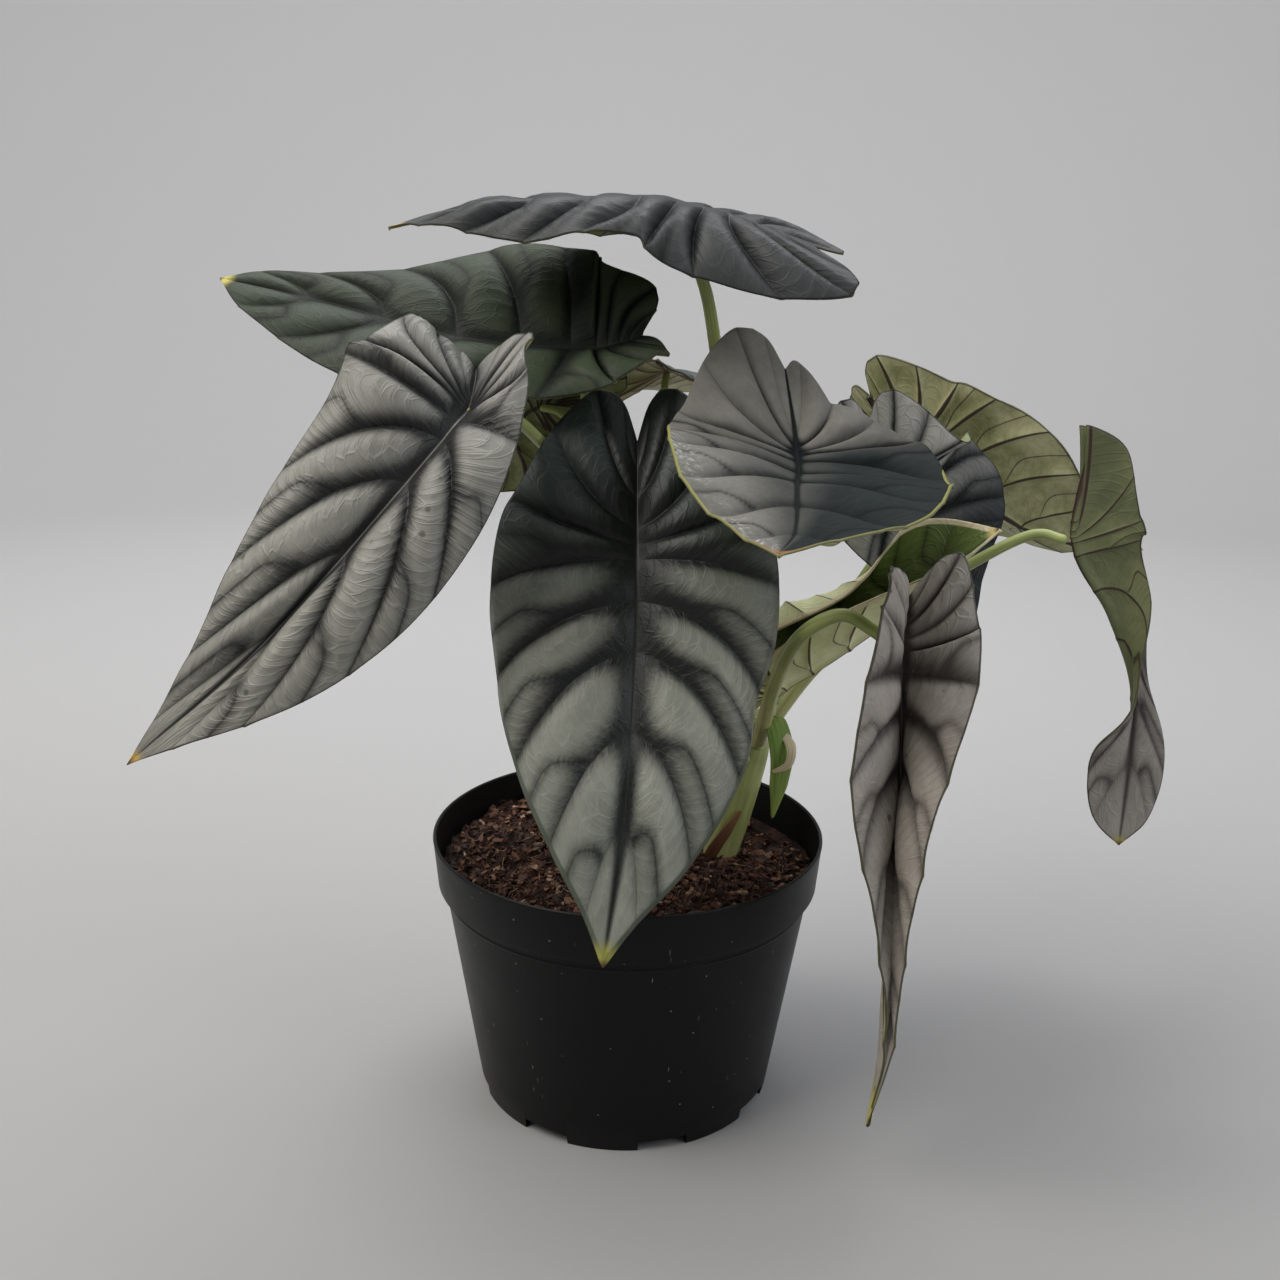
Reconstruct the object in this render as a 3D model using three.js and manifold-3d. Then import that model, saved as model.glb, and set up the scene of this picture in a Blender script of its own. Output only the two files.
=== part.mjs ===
// Potted silver dragon alocasia, in millimetres, +Z up and the viewer's side towards -Y.
// The origin is the centre of the pot's underside, on the surface that the pot stands on.
// The plant is a stem in a filled nursery pot, with twelve blades, each on its own petiole.
import * as THREE from 'three';
import { mergeVertices } from 'three/addons/utils/BufferGeometryUtils.js';
import Module from 'manifold-3d';

const wasm = await Module();
wasm.setup();

// Clearance between touching pieces.
const GAP = 0.3;

// Pot: a thin injection-moulded nursery pot with a rim band, a tapered wall and a notched foot.
const POT_HEIGHT = 118;
const RIM_RADIUS = 85;
const BASE_RADIUS = 65;
const BAND_HEIGHT = 21;
const BAND_STEP = 2.4;
const BAND_DRAFT = 2;
const WALL = 1.5;
const LEDGE = 2;
const EDGE = 0.6;
const FOOT_HEIGHT = 5;
const FOOT_WIDTH = 3;
const FLOOR_TOP = 7;
const PAD_RADIUS = 20;
const NOTCHES = 8;
const NOTCH_WIDTH = 21;
const NOTCH_HEIGHT = 4.7;
const NOTCH_TURN = -30;
const SIDES = 48;

// Soil: its mean level, the mound round the stem and the hollow behind it.
const SOIL_LEVEL = 103;
const SOIL_RINGS = 8;
const MOUND = { x: -22, y: 30, height: 5, spread: 26 };
const HOLLOW = { x: 52, y: 34, height: -13, spread: 15 };
const LUMP = 1.3;
const LUMP_LENGTH = 17;

// Blades.
const BLADE_THICKNESS = 0.8;
const PUFF = 2.2;
const VEINS = 10;
const ROWS_PER_VEIN = 2;
const COLUMNS = [0.3, 0.6, 0.84, 1];
const BEND_OF_VEIN = 0.58;
const SWEEP_OF_VEIN = 0.1;
const ARC_STEPS = 60;
const STEEPEST_FOLD = 62;
const WAVE = 1.2;
const WAVE_TURN = 1.5;

// Petioles and the stem.
const PETIOLE_SIDES = 8;
const PETIOLE_STEPS = 11;
const BRACT_STEPS = 10;
const STEM_SIDES = 14;
const STEM_STEPS = 12;
const BASE_FLARE = 1.25;
const TIP_TAPER = 0.85;

// Half outline of a blade, one point at the end of each main vein from the sinus to the tip:
// the share of the half width, then the share of the lobe (below 0) or of the blade (above 0).
const MARGIN = [
  [0, -0.68], [0.12, -0.94], [0.32, -1], [0.62, -0.7], [0.88, -0.22], [1, 0.12],
  [0.95, 0.34], [0.76, 0.55], [0.45, 0.75], [0.18, 0.9], [0, 1],
];
// Where the same veins leave the midrib.
const VEIN_ROOT = [-0.68, -0.14, -0.06, -0.01, 0.01, 0.07, 0.2, 0.4, 0.61, 0.81, 1];

// Each blade runs through its stations: the far end of the lobes, the top of the petiole, and on
// along the midrib to the tip. A station is a point, the way that the upper face looks, and for
// the left and right half [half width, rise from the midrib, curl to the margin], in degrees.
// lobes stretches the left and right lobe, and turned lifts the margin of the blade's front part.
const LEAVES = {
  front_centre: {
    colour: '#5d625e',
    stations: [
      [[1, 8, 305], [0, -0.8, 0.45], [52, 20, -25], [54, 20, -25]],
      [[2, -36, 252], [0, -0.93, 0.35], [55, 22, -40], [57, 22, -40]],
      [[2, -56, 214], [0, -0.95, 0.25], [56, 15, -40], [58, 15, -40]],
      [[-1, -84, 158], [0, -1, 0.15], [56, 12, -35], [56, 12, -35]],
      [[-8, -100, 104], [0, -1, 0.1], [50, 10, -20], [50, 10, -20]],
    ],
    petiole: [2.6, [53, 14, 143], [36, 12, 180], [16, -2, 222], [5, -20, 252], [2, -36, 252]],
  },
  left_front: {
    colour: '#7e807c',
    lobes: [1, 1.2],
    stations: [
      [[-60, -22, 322], [0, -0.5, 1], [24, 40, 0], [46, 40, -20]],
      [[-62, -46, 305], [-0.1, -0.8, 0.7], [26, 28, -30], [50, 42, -36]],
      [[-83, -64, 278], [-0.2, -0.95, 0.4], [36, 20, -40], [44, 25, -40]],
      [[-133, -80, 222], [-0.2, -0.95, 0.35], [43, 18, -40], [38, 18, -40]],
      [[-185, -84, 176], [-0.2, -0.95, 0.3], [38, 10, -20], [32, 10, -20]],
    ],
    petiole: [
      2.4, [50, 18, 136], [3, 22, 233], [-25, 12, 271],
      [-36, -6, 286], [-47, -30, 300], [-62, -46, 305],
    ],
  },
  upper_left: {
    colour: '#39453f',
    stations: [
      [[12, 12, 332], [0, -0.55, 0.8], [30, 22, 0], [40, 25, 0]],
      [[-18, 14, 323], [0, -0.55, 0.8], [36, 18, -20], [46, 28, -10]],
      [[-69, 22, 325], [0, -0.55, 0.8], [38, 14, -20], [48, 24, -10]],
      [[-130, 40, 338], [0, -0.6, 0.8], [42, -5, -20], [30, 8, -10]],
      [[-183, 62, 347], [0, -0.6, 0.8], [32, -5, 0], [22, 10, 0]],
    ],
    petiole: [2.2, [51, 22, 140], [8, 28, 216], [-14, 26, 271], [-21, 22, 305], [-18, 14, 323]],
  },
  top: {
    colour: '#5a5e5e',
    lobes: [1, 0.7],
    stations: [
      [[88, -22, 357], [0, -0.1, 1], [48, -36, -30], [44, 5, 40]],
      [[22, 4, 380], [0, -0.1, 1], [38, -22, -22], [46, -18, -15]],
      [[-13, 8, 382], [0, -0.1, 1], [31, -16, -15], [42, -16, -20]],
      [[-56, 10, 379], [0, -0.1, 1], [34, -28, -20], [38, -16, -20]],
      [[-99, 10, 369], [0, -0.1, 1], [30, -5, 0], [34, -5, 0]],
    ],
    petiole: [
      2.6, [53, 22, 147], [44, 34, 215], [37, 28, 294],
      [30, 18, 339], [22, 10, 364], [22, 4, 380],
    ],
  },
  centre_right: {
    colour: '#646664',
    lobes: [0.4, 1],
    turned: 6,
    stations: [
      [[58, 12, 332], [0, -0.8, 0.5], [50, 0, 0], [56, 10, 0]],
      [[63, -30, 288], [0, -0.6, 0.8], [54, 4, -20], [52, 15, -10]],
      [[58, -80, 283], [0, -0.2, 1], [58, 2, -10], [52, 10, 0]],
      [[53, -125, 276], [0, 0, 1], [72, -2, 10], [58, 0, 10]],
      [[44, -165, 277], [0, 0.1, 1], [86, 0, 0], [60, 0, 0]],
    ],
    petiole: [
      2.6, [56, 20, 152], [52, 30, 190], [54, 27, 225],
      [58, 4, 262], [61, -20, 284], [63, -30, 288],
    ],
  },
  mid_right: {
    colour: '#54585a',
    stations: [
      [[99, 44, 303], [0, -0.85, 0.5], [40, 10, -20], [34, 10, -20]],
      [[108, 38, 266], [0, -0.85, 0.5], [47, 10, -20], [30, 15, -20]],
      [[126, 40, 243], [0, -0.85, 0.5], [52, 10, -20], [28, 10, -20]],
      [[143, 42, 221], [0, -0.85, 0.5], [62, 10, -20], [28, 10, -20]],
      [[156, 44, 207], [0, -0.85, 0.5], [66, 0, 0], [30, 0, 0]],
    ],
    petiole: [2.3, [56, 24, 148], [82, 34, 188], [108, 46, 222], [114, 47, 250], [108, 38, 266]],
  },
  rolled: {
    colour: '#5c7038',
    stations: [
      [[48, 7, 170], [-0.3, -0.1, 0.9], [34, 20, 110], [20, 20, 60]],
      [[61, 4, 180], [-0.3, -0.1, 0.9], [54, 20, 190], [28, 20, 60]],
      [[84, -2, 197], [-0.3, -0.1, 0.9], [60, 20, 205], [32, 20, 60]],
      [[112, -12, 223], [-0.4, -0.1, 0.9], [50, 20, 240], [36, 20, 60]],
      [[146, -22, 258], [-0.4, -0.1, 0.9], [105, 20, 330], [70, 10, 60]],
    ],
    petiole: [3.4, [56, 15, 152], [60, 12, 166], [61, 4, 180]],
  },
  back_right: {
    colour: '#66703f',
    lobes: [0.75, 1],
    stations: [
      [[100, 86, 310], [-0.1, 0.9, 0.4], [40, 45, 0], [40, -5, 0]],
      [[128, 88, 276], [-0.1, 0.9, 0.4], [40, 45, 0], [42, -5, 0]],
      [[163, 92, 251], [-0.1, 0.9, 0.4], [38, 45, 0], [49, -5, 0]],
      [[202, 98, 231], [0, 0.9, 0.4], [36, 45, 0], [52, -5, 0]],
      [[250, 104, 225], [0, 0.9, 0.4], [30, 30, 0], [60, -5, 0]],
    ],
    petiole: [2.3, [56, 28, 146], [84, 46, 190], [112, 64, 226], [126, 78, 256], [128, 88, 276]],
  },
  right_hanging: {
    colour: '#7b7571',
    stations: [
      [[110, -34, 244], [0, -0.9, 0.3], [26, 30, 0], [26, 62, 0]],
      [[105, -50, 214], [0, -1, 0.2], [32, 34, 0], [35, 62, 0]],
      [[105, -64, 163], [0, -1, 0.1], [35, 76, 0], [38, 50, 0]],
      [[102, -74, 109], [0, -1, 0.1], [33, 80, 0], [34, 72, 0]],
      [[102, -80, 64], [0, -1, 0.1], [33, 78, 0], [30, 84, 0]],
      [[98, -84, 27], [-0.3, -1, 0.1], [30, 60, 0], [30, 90, 0]],
    ],
    petiole: [
      2.7, [56, 6, 155], [60, -20, 193], [67, -38, 217],
      [81, -46, 228], [94, -46, 222], [105, -50, 214],
    ],
  },
  far_right: {
    colour: '#5b653f',
    stations: [
      [[187, 8, 299], [1, 0, 0.1], [28, 70, 0], [30, 70, 0]],
      [[182, 0, 250], [1, 0.1, 0.1], [30, 75, 0], [30, 75, 0]],
      [[199, -4, 219], [1, 0, 0.1], [18, 75, 0], [18, 75, 0]],
      [[211, -6, 190], [0.7, -0.7, 0.1], [8, 50, 0], [8, 50, 0]],
      [[214, -6, 158], [0, -1, 0.1], [29, 10, -20], [34, 10, -20]],
      [[214, -6, 116], [0, -1, 0.1], [44, 0, 0], [60, 0, 0]],
    ],
    petiole: [
      2.4, [57, 20, 151], [84, 26, 187], [117, 24, 214],
      [144, 16, 235], [167, 8, 250], [182, 0, 250],
    ],
  },
  left_behind: {
    colour: '#5f6a3e',
    stations: [
      [[-3, 42, 300], [0.1, 0.9, 0.4], [34, 0, 0], [38, -10, 0]],
      [[-41, 40, 297], [0.1, 0.9, 0.4], [32, 0, 0], [40, -10, 0]],
      [[-54, 42, 284], [0.1, 0.9, 0.4], [36, -10, 0], [33, -10, 0]],
      [[-69, 46, 270], [0.1, 0.9, 0.4], [36, -10, 0], [28, -10, 0]],
      [[-85, 50, 257], [0.1, 0.9, 0.4], [36, 0, 0], [28, 0, 0]],
    ],
    petiole: [1.9, [51, 26, 141], [8, 44, 228], [-17, 38, 277], [-30, 34, 293], [-41, 40, 297]],
  },
  back_centre: {
    colour: '#3f4a42',
    stations: [
      [[7, 34, 319], [0.2, -0.2, 1], [34, -40, 0], [18, -10, 0]],
      [[14, 52, 313], [0.2, -0.2, 1], [38, -50, 0], [20, -10, 0]],
      [[30, 86, 307], [0.2, -0.2, 1], [40, -30, 0], [36, -10, 0]],
      [[44, 118, 298], [0.2, -0.2, 1], [40, -20, 0], [40, -10, 0]],
      [[58, 150, 286], [0.2, -0.2, 1], [40, 0, 0], [40, 0, 0]],
    ],
    petiole: [1.8, [54, 27, 143], [37, 46, 210], [20, 50, 269], [13, 50, 299], [14, 52, 313]],
  },
};

// Stem: sheathing petiole bases round the rhizome, from inside the soil to the crown.
const STEM = {
  route: [[37, 13, 88], [40, 14, 100], [48, 16, 122], [55, 18, 147], [58, 17, 163]],
  radii: [10, 9.5, 8, 7, 5],
};

// Bracts by the stem: a point, the half width and the half thickness at each, and the way across.
const BRACTS = {
  cataphyll: {
    colour: '#6f8a45',
    across: [1, 0.2, 0],
    route: [[59, 12, 166], [62, -1, 169], [65, -9, 158], [64, -11, 143], [62, -11, 128]],
    half: [[3, 0.6], [4.6, 0.7], [4.8, 0.7], [3.4, 0.6], [0.7, 0.4]],
  },
  dry_sheath: {
    colour: '#6b4a33',
    across: [0.9, 0.1, -0.4],
    route: [[34, 3, 98], [38, 3.5, 106], [44, 5, 115], [50, 7, 124]],
    half: [[2.4, 0.7], [3, 0.7], [2.4, 0.6], [0.8, 0.4]],
  },
  dry_curl: {
    colour: '#b79a72',
    across: [0.3, 1, 0],
    route: [[60, 10, 158], [67, 0, 164], [71, -7, 161], [70, -10, 154], [64, -9, 150]],
    half: [[1.4, 0.5], [2.6, 0.5], [2.8, 0.5], [2.2, 0.5], [0.8, 0.4]],
  },
};

const vector = (a) => new THREE.Vector3(...a);
const spline = (list) => new THREE.CatmullRomCurve3(list.map(vector), false, 'catmullrom', 0.5);
const degrees = THREE.MathUtils.degToRad;
const { clamp, lerp } = THREE.MathUtils;

// Solids and geometry turned into each other.

function toSolid(geometry) {
  const bare = new THREE.BufferGeometry();
  bare.setAttribute('position', geometry.getAttribute('position'));
  bare.setIndex(geometry.index);
  const merged = mergeVertices(bare, 1e-3);
  return new wasm.Manifold(new wasm.Mesh({
    numProp: 3,
    vertProperties: merged.attributes.position.array,
    triVerts: new Uint32Array(merged.index.array),
  }));
}

function toGeometry(solid) {
  const mesh = solid.getMesh();
  const geometry = new THREE.BufferGeometry();
  geometry.setAttribute('position', new THREE.BufferAttribute(mesh.vertProperties, 3));
  geometry.setIndex(new THREE.BufferAttribute(mesh.triVerts, 1));
  return geometry;
}

function largest(solid) {
  return solid.decompose().reduce((a, b) => (a.volume() > b.volume() ? a : b));
}

function fromFaces(points, faces) {
  const geometry = new THREE.BufferGeometry();
  const flat = points.flatMap((p) => [p.x, p.y, p.z]);
  geometry.setAttribute('position', new THREE.Float32BufferAttribute(flat, 3));
  geometry.setIndex(faces.flat());
  return geometry;
}

// Closed loft through rings of equal count, from the first ring to the last.
function loft(rings) {
  const count = rings[0].length;
  const points = rings.flat();
  const faces = [];
  for (let i = 0; i + 1 < rings.length; i++) {
    for (let j = 0; j < count; j++) {
      const a = i * count + j;
      const b = i * count + (j + 1) % count;
      faces.push([a, b, b + count], [a, b + count, a + count]);
    }
  }
  for (const [ring, order] of [[0, -1], [rings.length - 1, 1]]) {
    const centre = points.length;
    const mean = new THREE.Vector3();
    rings[ring].forEach((p) => mean.add(p));
    points.push(mean.divideScalar(count));
    for (let j = 0; j < count; j++) {
      const a = ring * count + j;
      const b = ring * count + (j + 1) % count;
      faces.push(order > 0 ? [a, b, centre] : [b, a, centre]);
    }
  }
  return fromFaces(points, faces);
}

// Elliptical section swept along a route; half gives [across, thick] at a share t of it.
function sweep(route, steps, sides, half, across) {
  const curve = spline(route);
  const frames = curve.computeFrenetFrames(steps, false);
  const rings = [];
  for (let i = 0; i <= steps; i++) {
    const t = i / steps;
    const centre = curve.getPointAt(t);
    const tangent = frames.tangents[i];
    const side = across
      ? vector(across).addScaledVector(tangent, -vector(across).dot(tangent)).normalize()
      : frames.normals[i];
    const up = new THREE.Vector3().crossVectors(tangent, side);
    const [wide, thick] = half(t);
    rings.push(Array.from({ length: sides }, (_, j) => {
      const angle = (2 * Math.PI * j) / sides;
      return centre.clone()
        .addScaledVector(side, wide * Math.cos(angle))
        .addScaledVector(up, thick * Math.sin(angle));
    }));
  }
  return loft(rings);
}

// Value of an evenly spaced list at a share t of its length.
function along(list, t) {
  const place = clamp(t, 0, 1) * (list.length - 1);
  const i = Math.min(Math.floor(place), list.length - 2);
  return lerp(list[i], list[i + 1], place - i);
}

// Blade surface: the point and the upper normal at vein place k and share r of the way out.

function bladeSurface({ stations, lobes = [1, 1], turned = 0 }) {
  const line = spline(stations.map((s) => s[0]));
  const up = spline(stations.map((s) => s[1]));
  const halves = [spline(stations.map((s) => s[2])), spline(stations.map((s) => s[3]))];
  const margin = spline(MARGIN.map(([across, run]) => [across, run, 0]));

  const spans = stations.length - 1;
  const samples = ARC_STEPS * spans;
  const lengths = [0];
  for (let i = 1; i <= samples; i++) {
    const step = line.getPoint(i / samples).distanceTo(line.getPoint((i - 1) / samples));
    lengths.push(lengths[i - 1] + step);
  }
  const lobe = lengths[ARC_STEPS];
  const blade = lengths[samples] - lobe;
  const place = (s) => {
    const run = clamp(s + lobe, 0, lengths[samples]);
    let i = 0;
    while (i < samples - 1 && lengths[i + 1] < run) i++;
    return (i + (run - lengths[i]) / (lengths[i + 1] - lengths[i])) / samples;
  };
  const real = (share) => share * (share < 0 ? lobe : blade);

  return (side, k, r) => {
    const edge = margin.getPoint(k / VEINS);
    const stretch = 1 + (lobes[side < 0 ? 0 : 1] - 1) * Math.min(1, edge.x / 0.3);
    const end = real(edge.y) * (edge.y < 0 ? stretch : 1);
    const root = real(along(VEIN_ROOT, k / VEINS));
    const bend = root + SWEEP_OF_VEIN * (end - root);
    const share = 2 * r * (1 - r) * BEND_OF_VEIN * edge.x + r * r * edge.x;
    const s = (1 - r) ** 2 * root + 2 * r * (1 - r) * bend + r * r * end;

    const t = place(s);
    const tangent = line.getTangent(t);
    const normal = up.getPoint(t);
    normal.addScaledVector(tangent, -normal.dot(tangent)).normalize();
    const out = new THREE.Vector3().crossVectors(tangent, normal).multiplyScalar(side);
    const half = halves[side < 0 ? 0 : 1].getPoint(t);
    const rise = degrees(half.y);
    const bow = degrees(half.z) / half.x || 1e-6;
    const angle = rise + bow * half.x * share;
    const reach = (Math.sin(angle) - Math.sin(rise)) / bow;
    const lift = (Math.cos(rise) - Math.cos(angle)) / bow;
    const upper = normal.clone().multiplyScalar(Math.cos(angle)).addScaledVector(out, -Math.sin(angle));
    if (r === 0) {
      const fold = Math.abs(halves[0].getPoint(t).y + halves[1].getPoint(t).y) / 2;
      upper.copy(normal).divideScalar(Math.cos(degrees(Math.min(fold, STEEPEST_FOLD))));
    }

    const ridge = 1 - Math.abs(2 * (k - Math.floor(k)) - 1) ** 2;
    const swell = (1 - (1 - r) ** 3) * (1 - 0.7 * r ** 4);
    const wave = r ** 4 * Math.sin(WAVE_TURN * k + side + stations[0][0][0]);
    const relief = (PUFF * ridge * swell + WAVE * wave) * Math.min(1, 3 * edge.x);
    const rim = turned * r ** 5 * Math.sin(Math.PI * clamp((k - 4) / 6, 0, 1)) ** 0.5;
    const point = line.getPoint(t)
      .addScaledVector(out, reach)
      .addScaledVector(normal, lift)
      .addScaledVector(upper, relief + rim);
    return { point, upper };
  };
}

// A blade of even thickness. Both halves share the midrib, and the sinus and the tip are one
// point each. Both faces are split into the same triangles.
function bladeGeometry(leaf, thickness) {
  const surface = bladeSurface(leaf);
  const rows = VEINS * ROWS_PER_VEIN;
  const points = [];
  const faces = [];
  const known = new Map();
  const id = (side, i, j, face) => {
    const column = i === 0 || i === rows ? 0 : j;
    const key = [column ? side : 0, i, column, face].join();
    if (!known.has(key)) {
      const share = column ? COLUMNS[column - 1] : 0;
      const { point, upper } = surface(side, i / ROWS_PER_VEIN, share);
      known.set(key, points.length);
      points.push(point.addScaledVector(upper, (face * thickness) / 2));
    }
    return known.get(key);
  };
  const add = (a, b, c) => {
    if (a !== b && b !== c && c !== a) faces.push([a, b, c]);
  };
  for (const side of [1, -1]) {
    for (let i = 0; i < rows; i++) {
      for (let j = 0; j < COLUMNS.length; j++) {
        for (const face of [1, -1]) {
          const a = id(side, i, j, face);
          const b = id(side, i, j + 1, face);
          const c = id(side, i + 1, j + 1, face);
          const d = id(side, i + 1, j, face);
          if (side * face > 0) {
            add(a, b, c);
            add(a, c, d);
          } else {
            add(a, c, b);
            add(a, d, c);
          }
        }
      }
      const last = COLUMNS.length;
      const corners = [[i, 1], [i, -1], [i + 1, -1], [i + 1, 1]];
      const rim = corners.map(([row, face]) => id(side, row, last, face));
      if (side < 0) rim.reverse();
      add(rim[0], rim[1], rim[2]);
      add(rim[0], rim[2], rim[3]);
    }
  }
  return fromFaces(points, faces);
}

// Pot and soil.

function potGeometry() {
  const bandBase = POT_HEIGHT - BAND_HEIGHT;
  const under = RIM_RADIUS - BAND_DRAFT - BAND_STEP;
  const profile = [
    [0, 0], [PAD_RADIUS, 0], [PAD_RADIUS + EDGE, FOOT_HEIGHT],
    [BASE_RADIUS - FOOT_WIDTH, FOOT_HEIGHT], [BASE_RADIUS - FOOT_WIDTH + EDGE, 0],
    [BASE_RADIUS, 0], [under, bandBase - EDGE],
    [RIM_RADIUS - BAND_DRAFT, bandBase], [RIM_RADIUS, POT_HEIGHT - EDGE],
    [RIM_RADIUS - EDGE, POT_HEIGHT], [RIM_RADIUS - WALL, POT_HEIGHT - EDGE],
    [RIM_RADIUS - BAND_DRAFT - WALL, bandBase + LEDGE], [under - WALL, bandBase],
    [BASE_RADIUS - WALL, FLOOR_TOP], [0, FLOOR_TOP],
  ].map(([radius, height]) => new THREE.Vector2(radius, height));
  const body = new THREE.LatheGeometry(profile, SIDES).rotateX(Math.PI / 2);
  let solid = toSolid(body);
  for (let i = 0; i < NOTCHES; i++) {
    const notch = new THREE.BoxGeometry(NOTCH_WIDTH, 4 * FOOT_WIDTH, 2 * NOTCH_HEIGHT);
    notch.translate(0, -BASE_RADIUS, 0);
    notch.rotateZ(degrees(NOTCH_TURN + (360 / NOTCHES) * i));
    solid = solid.subtract(toSolid(notch));
  }
  return toGeometry(solid);
}

function soilHeight(x, y) {
  const rise = [MOUND, HOLLOW].reduce((sum, m) => {
    const away = ((x - m.x) ** 2 + (y - m.y) ** 2) / (2 * m.spread ** 2);
    return sum + m.height * Math.exp(-away);
  }, 0);
  const turn = (2 * Math.PI) / LUMP_LENGTH;
  const lumps = Math.sin(turn * (x + 0.4 * y)) * Math.cos(turn * (y - 0.3 * x) + 1)
    + 0.6 * Math.sin(1.7 * turn * (y + 0.2 * x) + 2) * Math.cos(1.9 * turn * x);
  return SOIL_LEVEL + rise + LUMP * lumps;
}

function soilGeometry() {
  const bandBase = POT_HEIGHT - BAND_HEIGHT;
  const wallTop = RIM_RADIUS - BAND_DRAFT - BAND_STEP - WALL;
  const bandInner = RIM_RADIUS - BAND_DRAFT - WALL;
  const ring = (radius, height) => Array.from({ length: SIDES }, (_, j) => {
    const angle = (2 * Math.PI * j) / SIDES;
    const x = radius * Math.sin(angle);
    const y = -radius * Math.cos(angle);
    return new THREE.Vector3(x, y, height(x, y));
  });
  const flat = (z) => () => z;
  const clear = 1.4 * GAP;
  const rings = [
    ring(BASE_RADIUS - WALL - clear, flat(FLOOR_TOP + GAP)),
    ring(wallTop - clear, flat(bandBase + 0.2)),
    ring(bandInner - clear, flat(bandBase + LEDGE + 0.6)),
  ];
  const rim = (x, y) => Math.max(bandBase + LEDGE + 1, soilHeight(x, y));
  for (let i = SOIL_RINGS; i >= 1; i--) {
    rings.push(ring(((bandInner - clear) * i) / SOIL_RINGS, i === SOIL_RINGS ? rim : soilHeight));
  }
  return loft(rings);
}

// Assembly.

const root = new THREE.Group();
function place(name, geometry, colour, roughness) {
  const material = new THREE.MeshStandardMaterial({ color: colour, roughness, metalness: 0 });
  const mesh = new THREE.Mesh(geometry, material);
  mesh.name = name;
  root.add(mesh);
}

const stem = (grow) => toSolid(sweep(STEM.route, STEM_STEPS, STEM_SIDES, (t) => {
  const radius = along(STEM.radii, t) + grow;
  return [radius, radius];
}));
const bract = ({ route, half, across }, grow) => {
  const size = (t) => [0, 1].map((i) => along(half.map((h) => h[i]), t) + grow);
  return toSolid(sweep(route, BRACT_STEPS, PETIOLE_SIDES, size, across));
};
const petiole = ([radius, ...route], grow) => toSolid(sweep(route, PETIOLE_STEPS, PETIOLE_SIDES, (t) => {
  const size = radius * lerp(BASE_FLARE, TIP_TAPER, t) + grow;
  return [size, size];
}));

const stemSeat = stem(GAP);
const soil = toSolid(soilGeometry()).subtract(stemSeat).subtract(bract(BRACTS.dry_sheath, GAP));
place('pot', potGeometry(), '#1b1c1d', 0.55);
place('soil', toGeometry(largest(soil)), '#4a3226', 1);
place('stem', toGeometry(stem(0)), '#7d8f55', 0.5);

// Each later piece is cut round the earlier ones, with the same clearance.
let taken = stemSeat;
for (const [name, leaf] of Object.entries(LEAVES)) {
  place(`leaf_${name}`, bladeGeometry(leaf, BLADE_THICKNESS), leaf.colour, 0.5);
  const seat = toSolid(bladeGeometry(leaf, BLADE_THICKNESS + 2 * GAP));
  const body = petiole(leaf.petiole, 0).subtract(seat).subtract(taken);
  place(`petiole_${name}`, toGeometry(largest(body)), '#8a9560', 0.45);
  taken = taken.add(petiole(leaf.petiole, GAP));
}
for (const [name, piece] of Object.entries(BRACTS)) {
  place(name, toGeometry(largest(bract(piece, 0).subtract(taken))), piece.colour, 0.6);
  taken = taken.add(bract(piece, GAP));
}

export default root;
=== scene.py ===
import math
import random

import bpy
import numpy as np
from mathutils import Matrix, Vector, noise


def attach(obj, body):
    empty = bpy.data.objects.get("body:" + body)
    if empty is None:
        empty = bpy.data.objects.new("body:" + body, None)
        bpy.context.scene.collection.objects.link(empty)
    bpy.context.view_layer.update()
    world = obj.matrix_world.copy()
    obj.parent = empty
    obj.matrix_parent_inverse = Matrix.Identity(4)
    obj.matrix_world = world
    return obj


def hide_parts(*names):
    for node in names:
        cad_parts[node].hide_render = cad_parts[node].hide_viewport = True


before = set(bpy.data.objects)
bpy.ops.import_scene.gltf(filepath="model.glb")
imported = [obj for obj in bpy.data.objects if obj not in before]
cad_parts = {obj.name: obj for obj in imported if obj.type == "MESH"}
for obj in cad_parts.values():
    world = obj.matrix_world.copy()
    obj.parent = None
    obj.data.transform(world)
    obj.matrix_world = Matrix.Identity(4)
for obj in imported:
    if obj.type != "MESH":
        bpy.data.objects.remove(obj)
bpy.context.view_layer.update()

# Nursery pot: a 17 cm round pot, injection-moulded in black polypropylene. The wall is 1.5 mm
# thick, a stepped band stiffens the rim, and eight drain notches are cut in the foot ring.
MM = 0.001
FOOT_RADIUS = 65.0
NOTCH_SIZE = (21, 12, 9.4)
POT_RINGS = [
    (20.0, 0.0), (20.6, 5.0), (62.0, 5.0), (62.6, 0.0), (FOOT_RADIUS, 0.0), (67.05, 13.0),
    (79.35, 91.2), (79.75, 91.6), (79.85, 92.4), (79.55, 92.8), (80.6, 96.4), (83.0, 97.0),
    (84.7, 115.6), (85.0, 117.4), (84.4, 118.0), (83.5, 117.4), (81.5, 99.0), (79.1, 97.0), (63.5, 7.0),
]
TIMES = {"operation": "MULTIPLY"}
SOFTLY = {"interpolation_type": "SMOOTHSTEP"}


def linear(colour):
    """An sRGB hex colour as the linear colour that a socket takes."""
    parts = [int(colour[i:i + 2], 16) / 255 for i in (1, 3, 5)]
    return [c / 12.92 if c <= 0.04045 else ((c + 0.055) / 1.055) ** 2.4 for c in parts] + [1.0]


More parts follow.
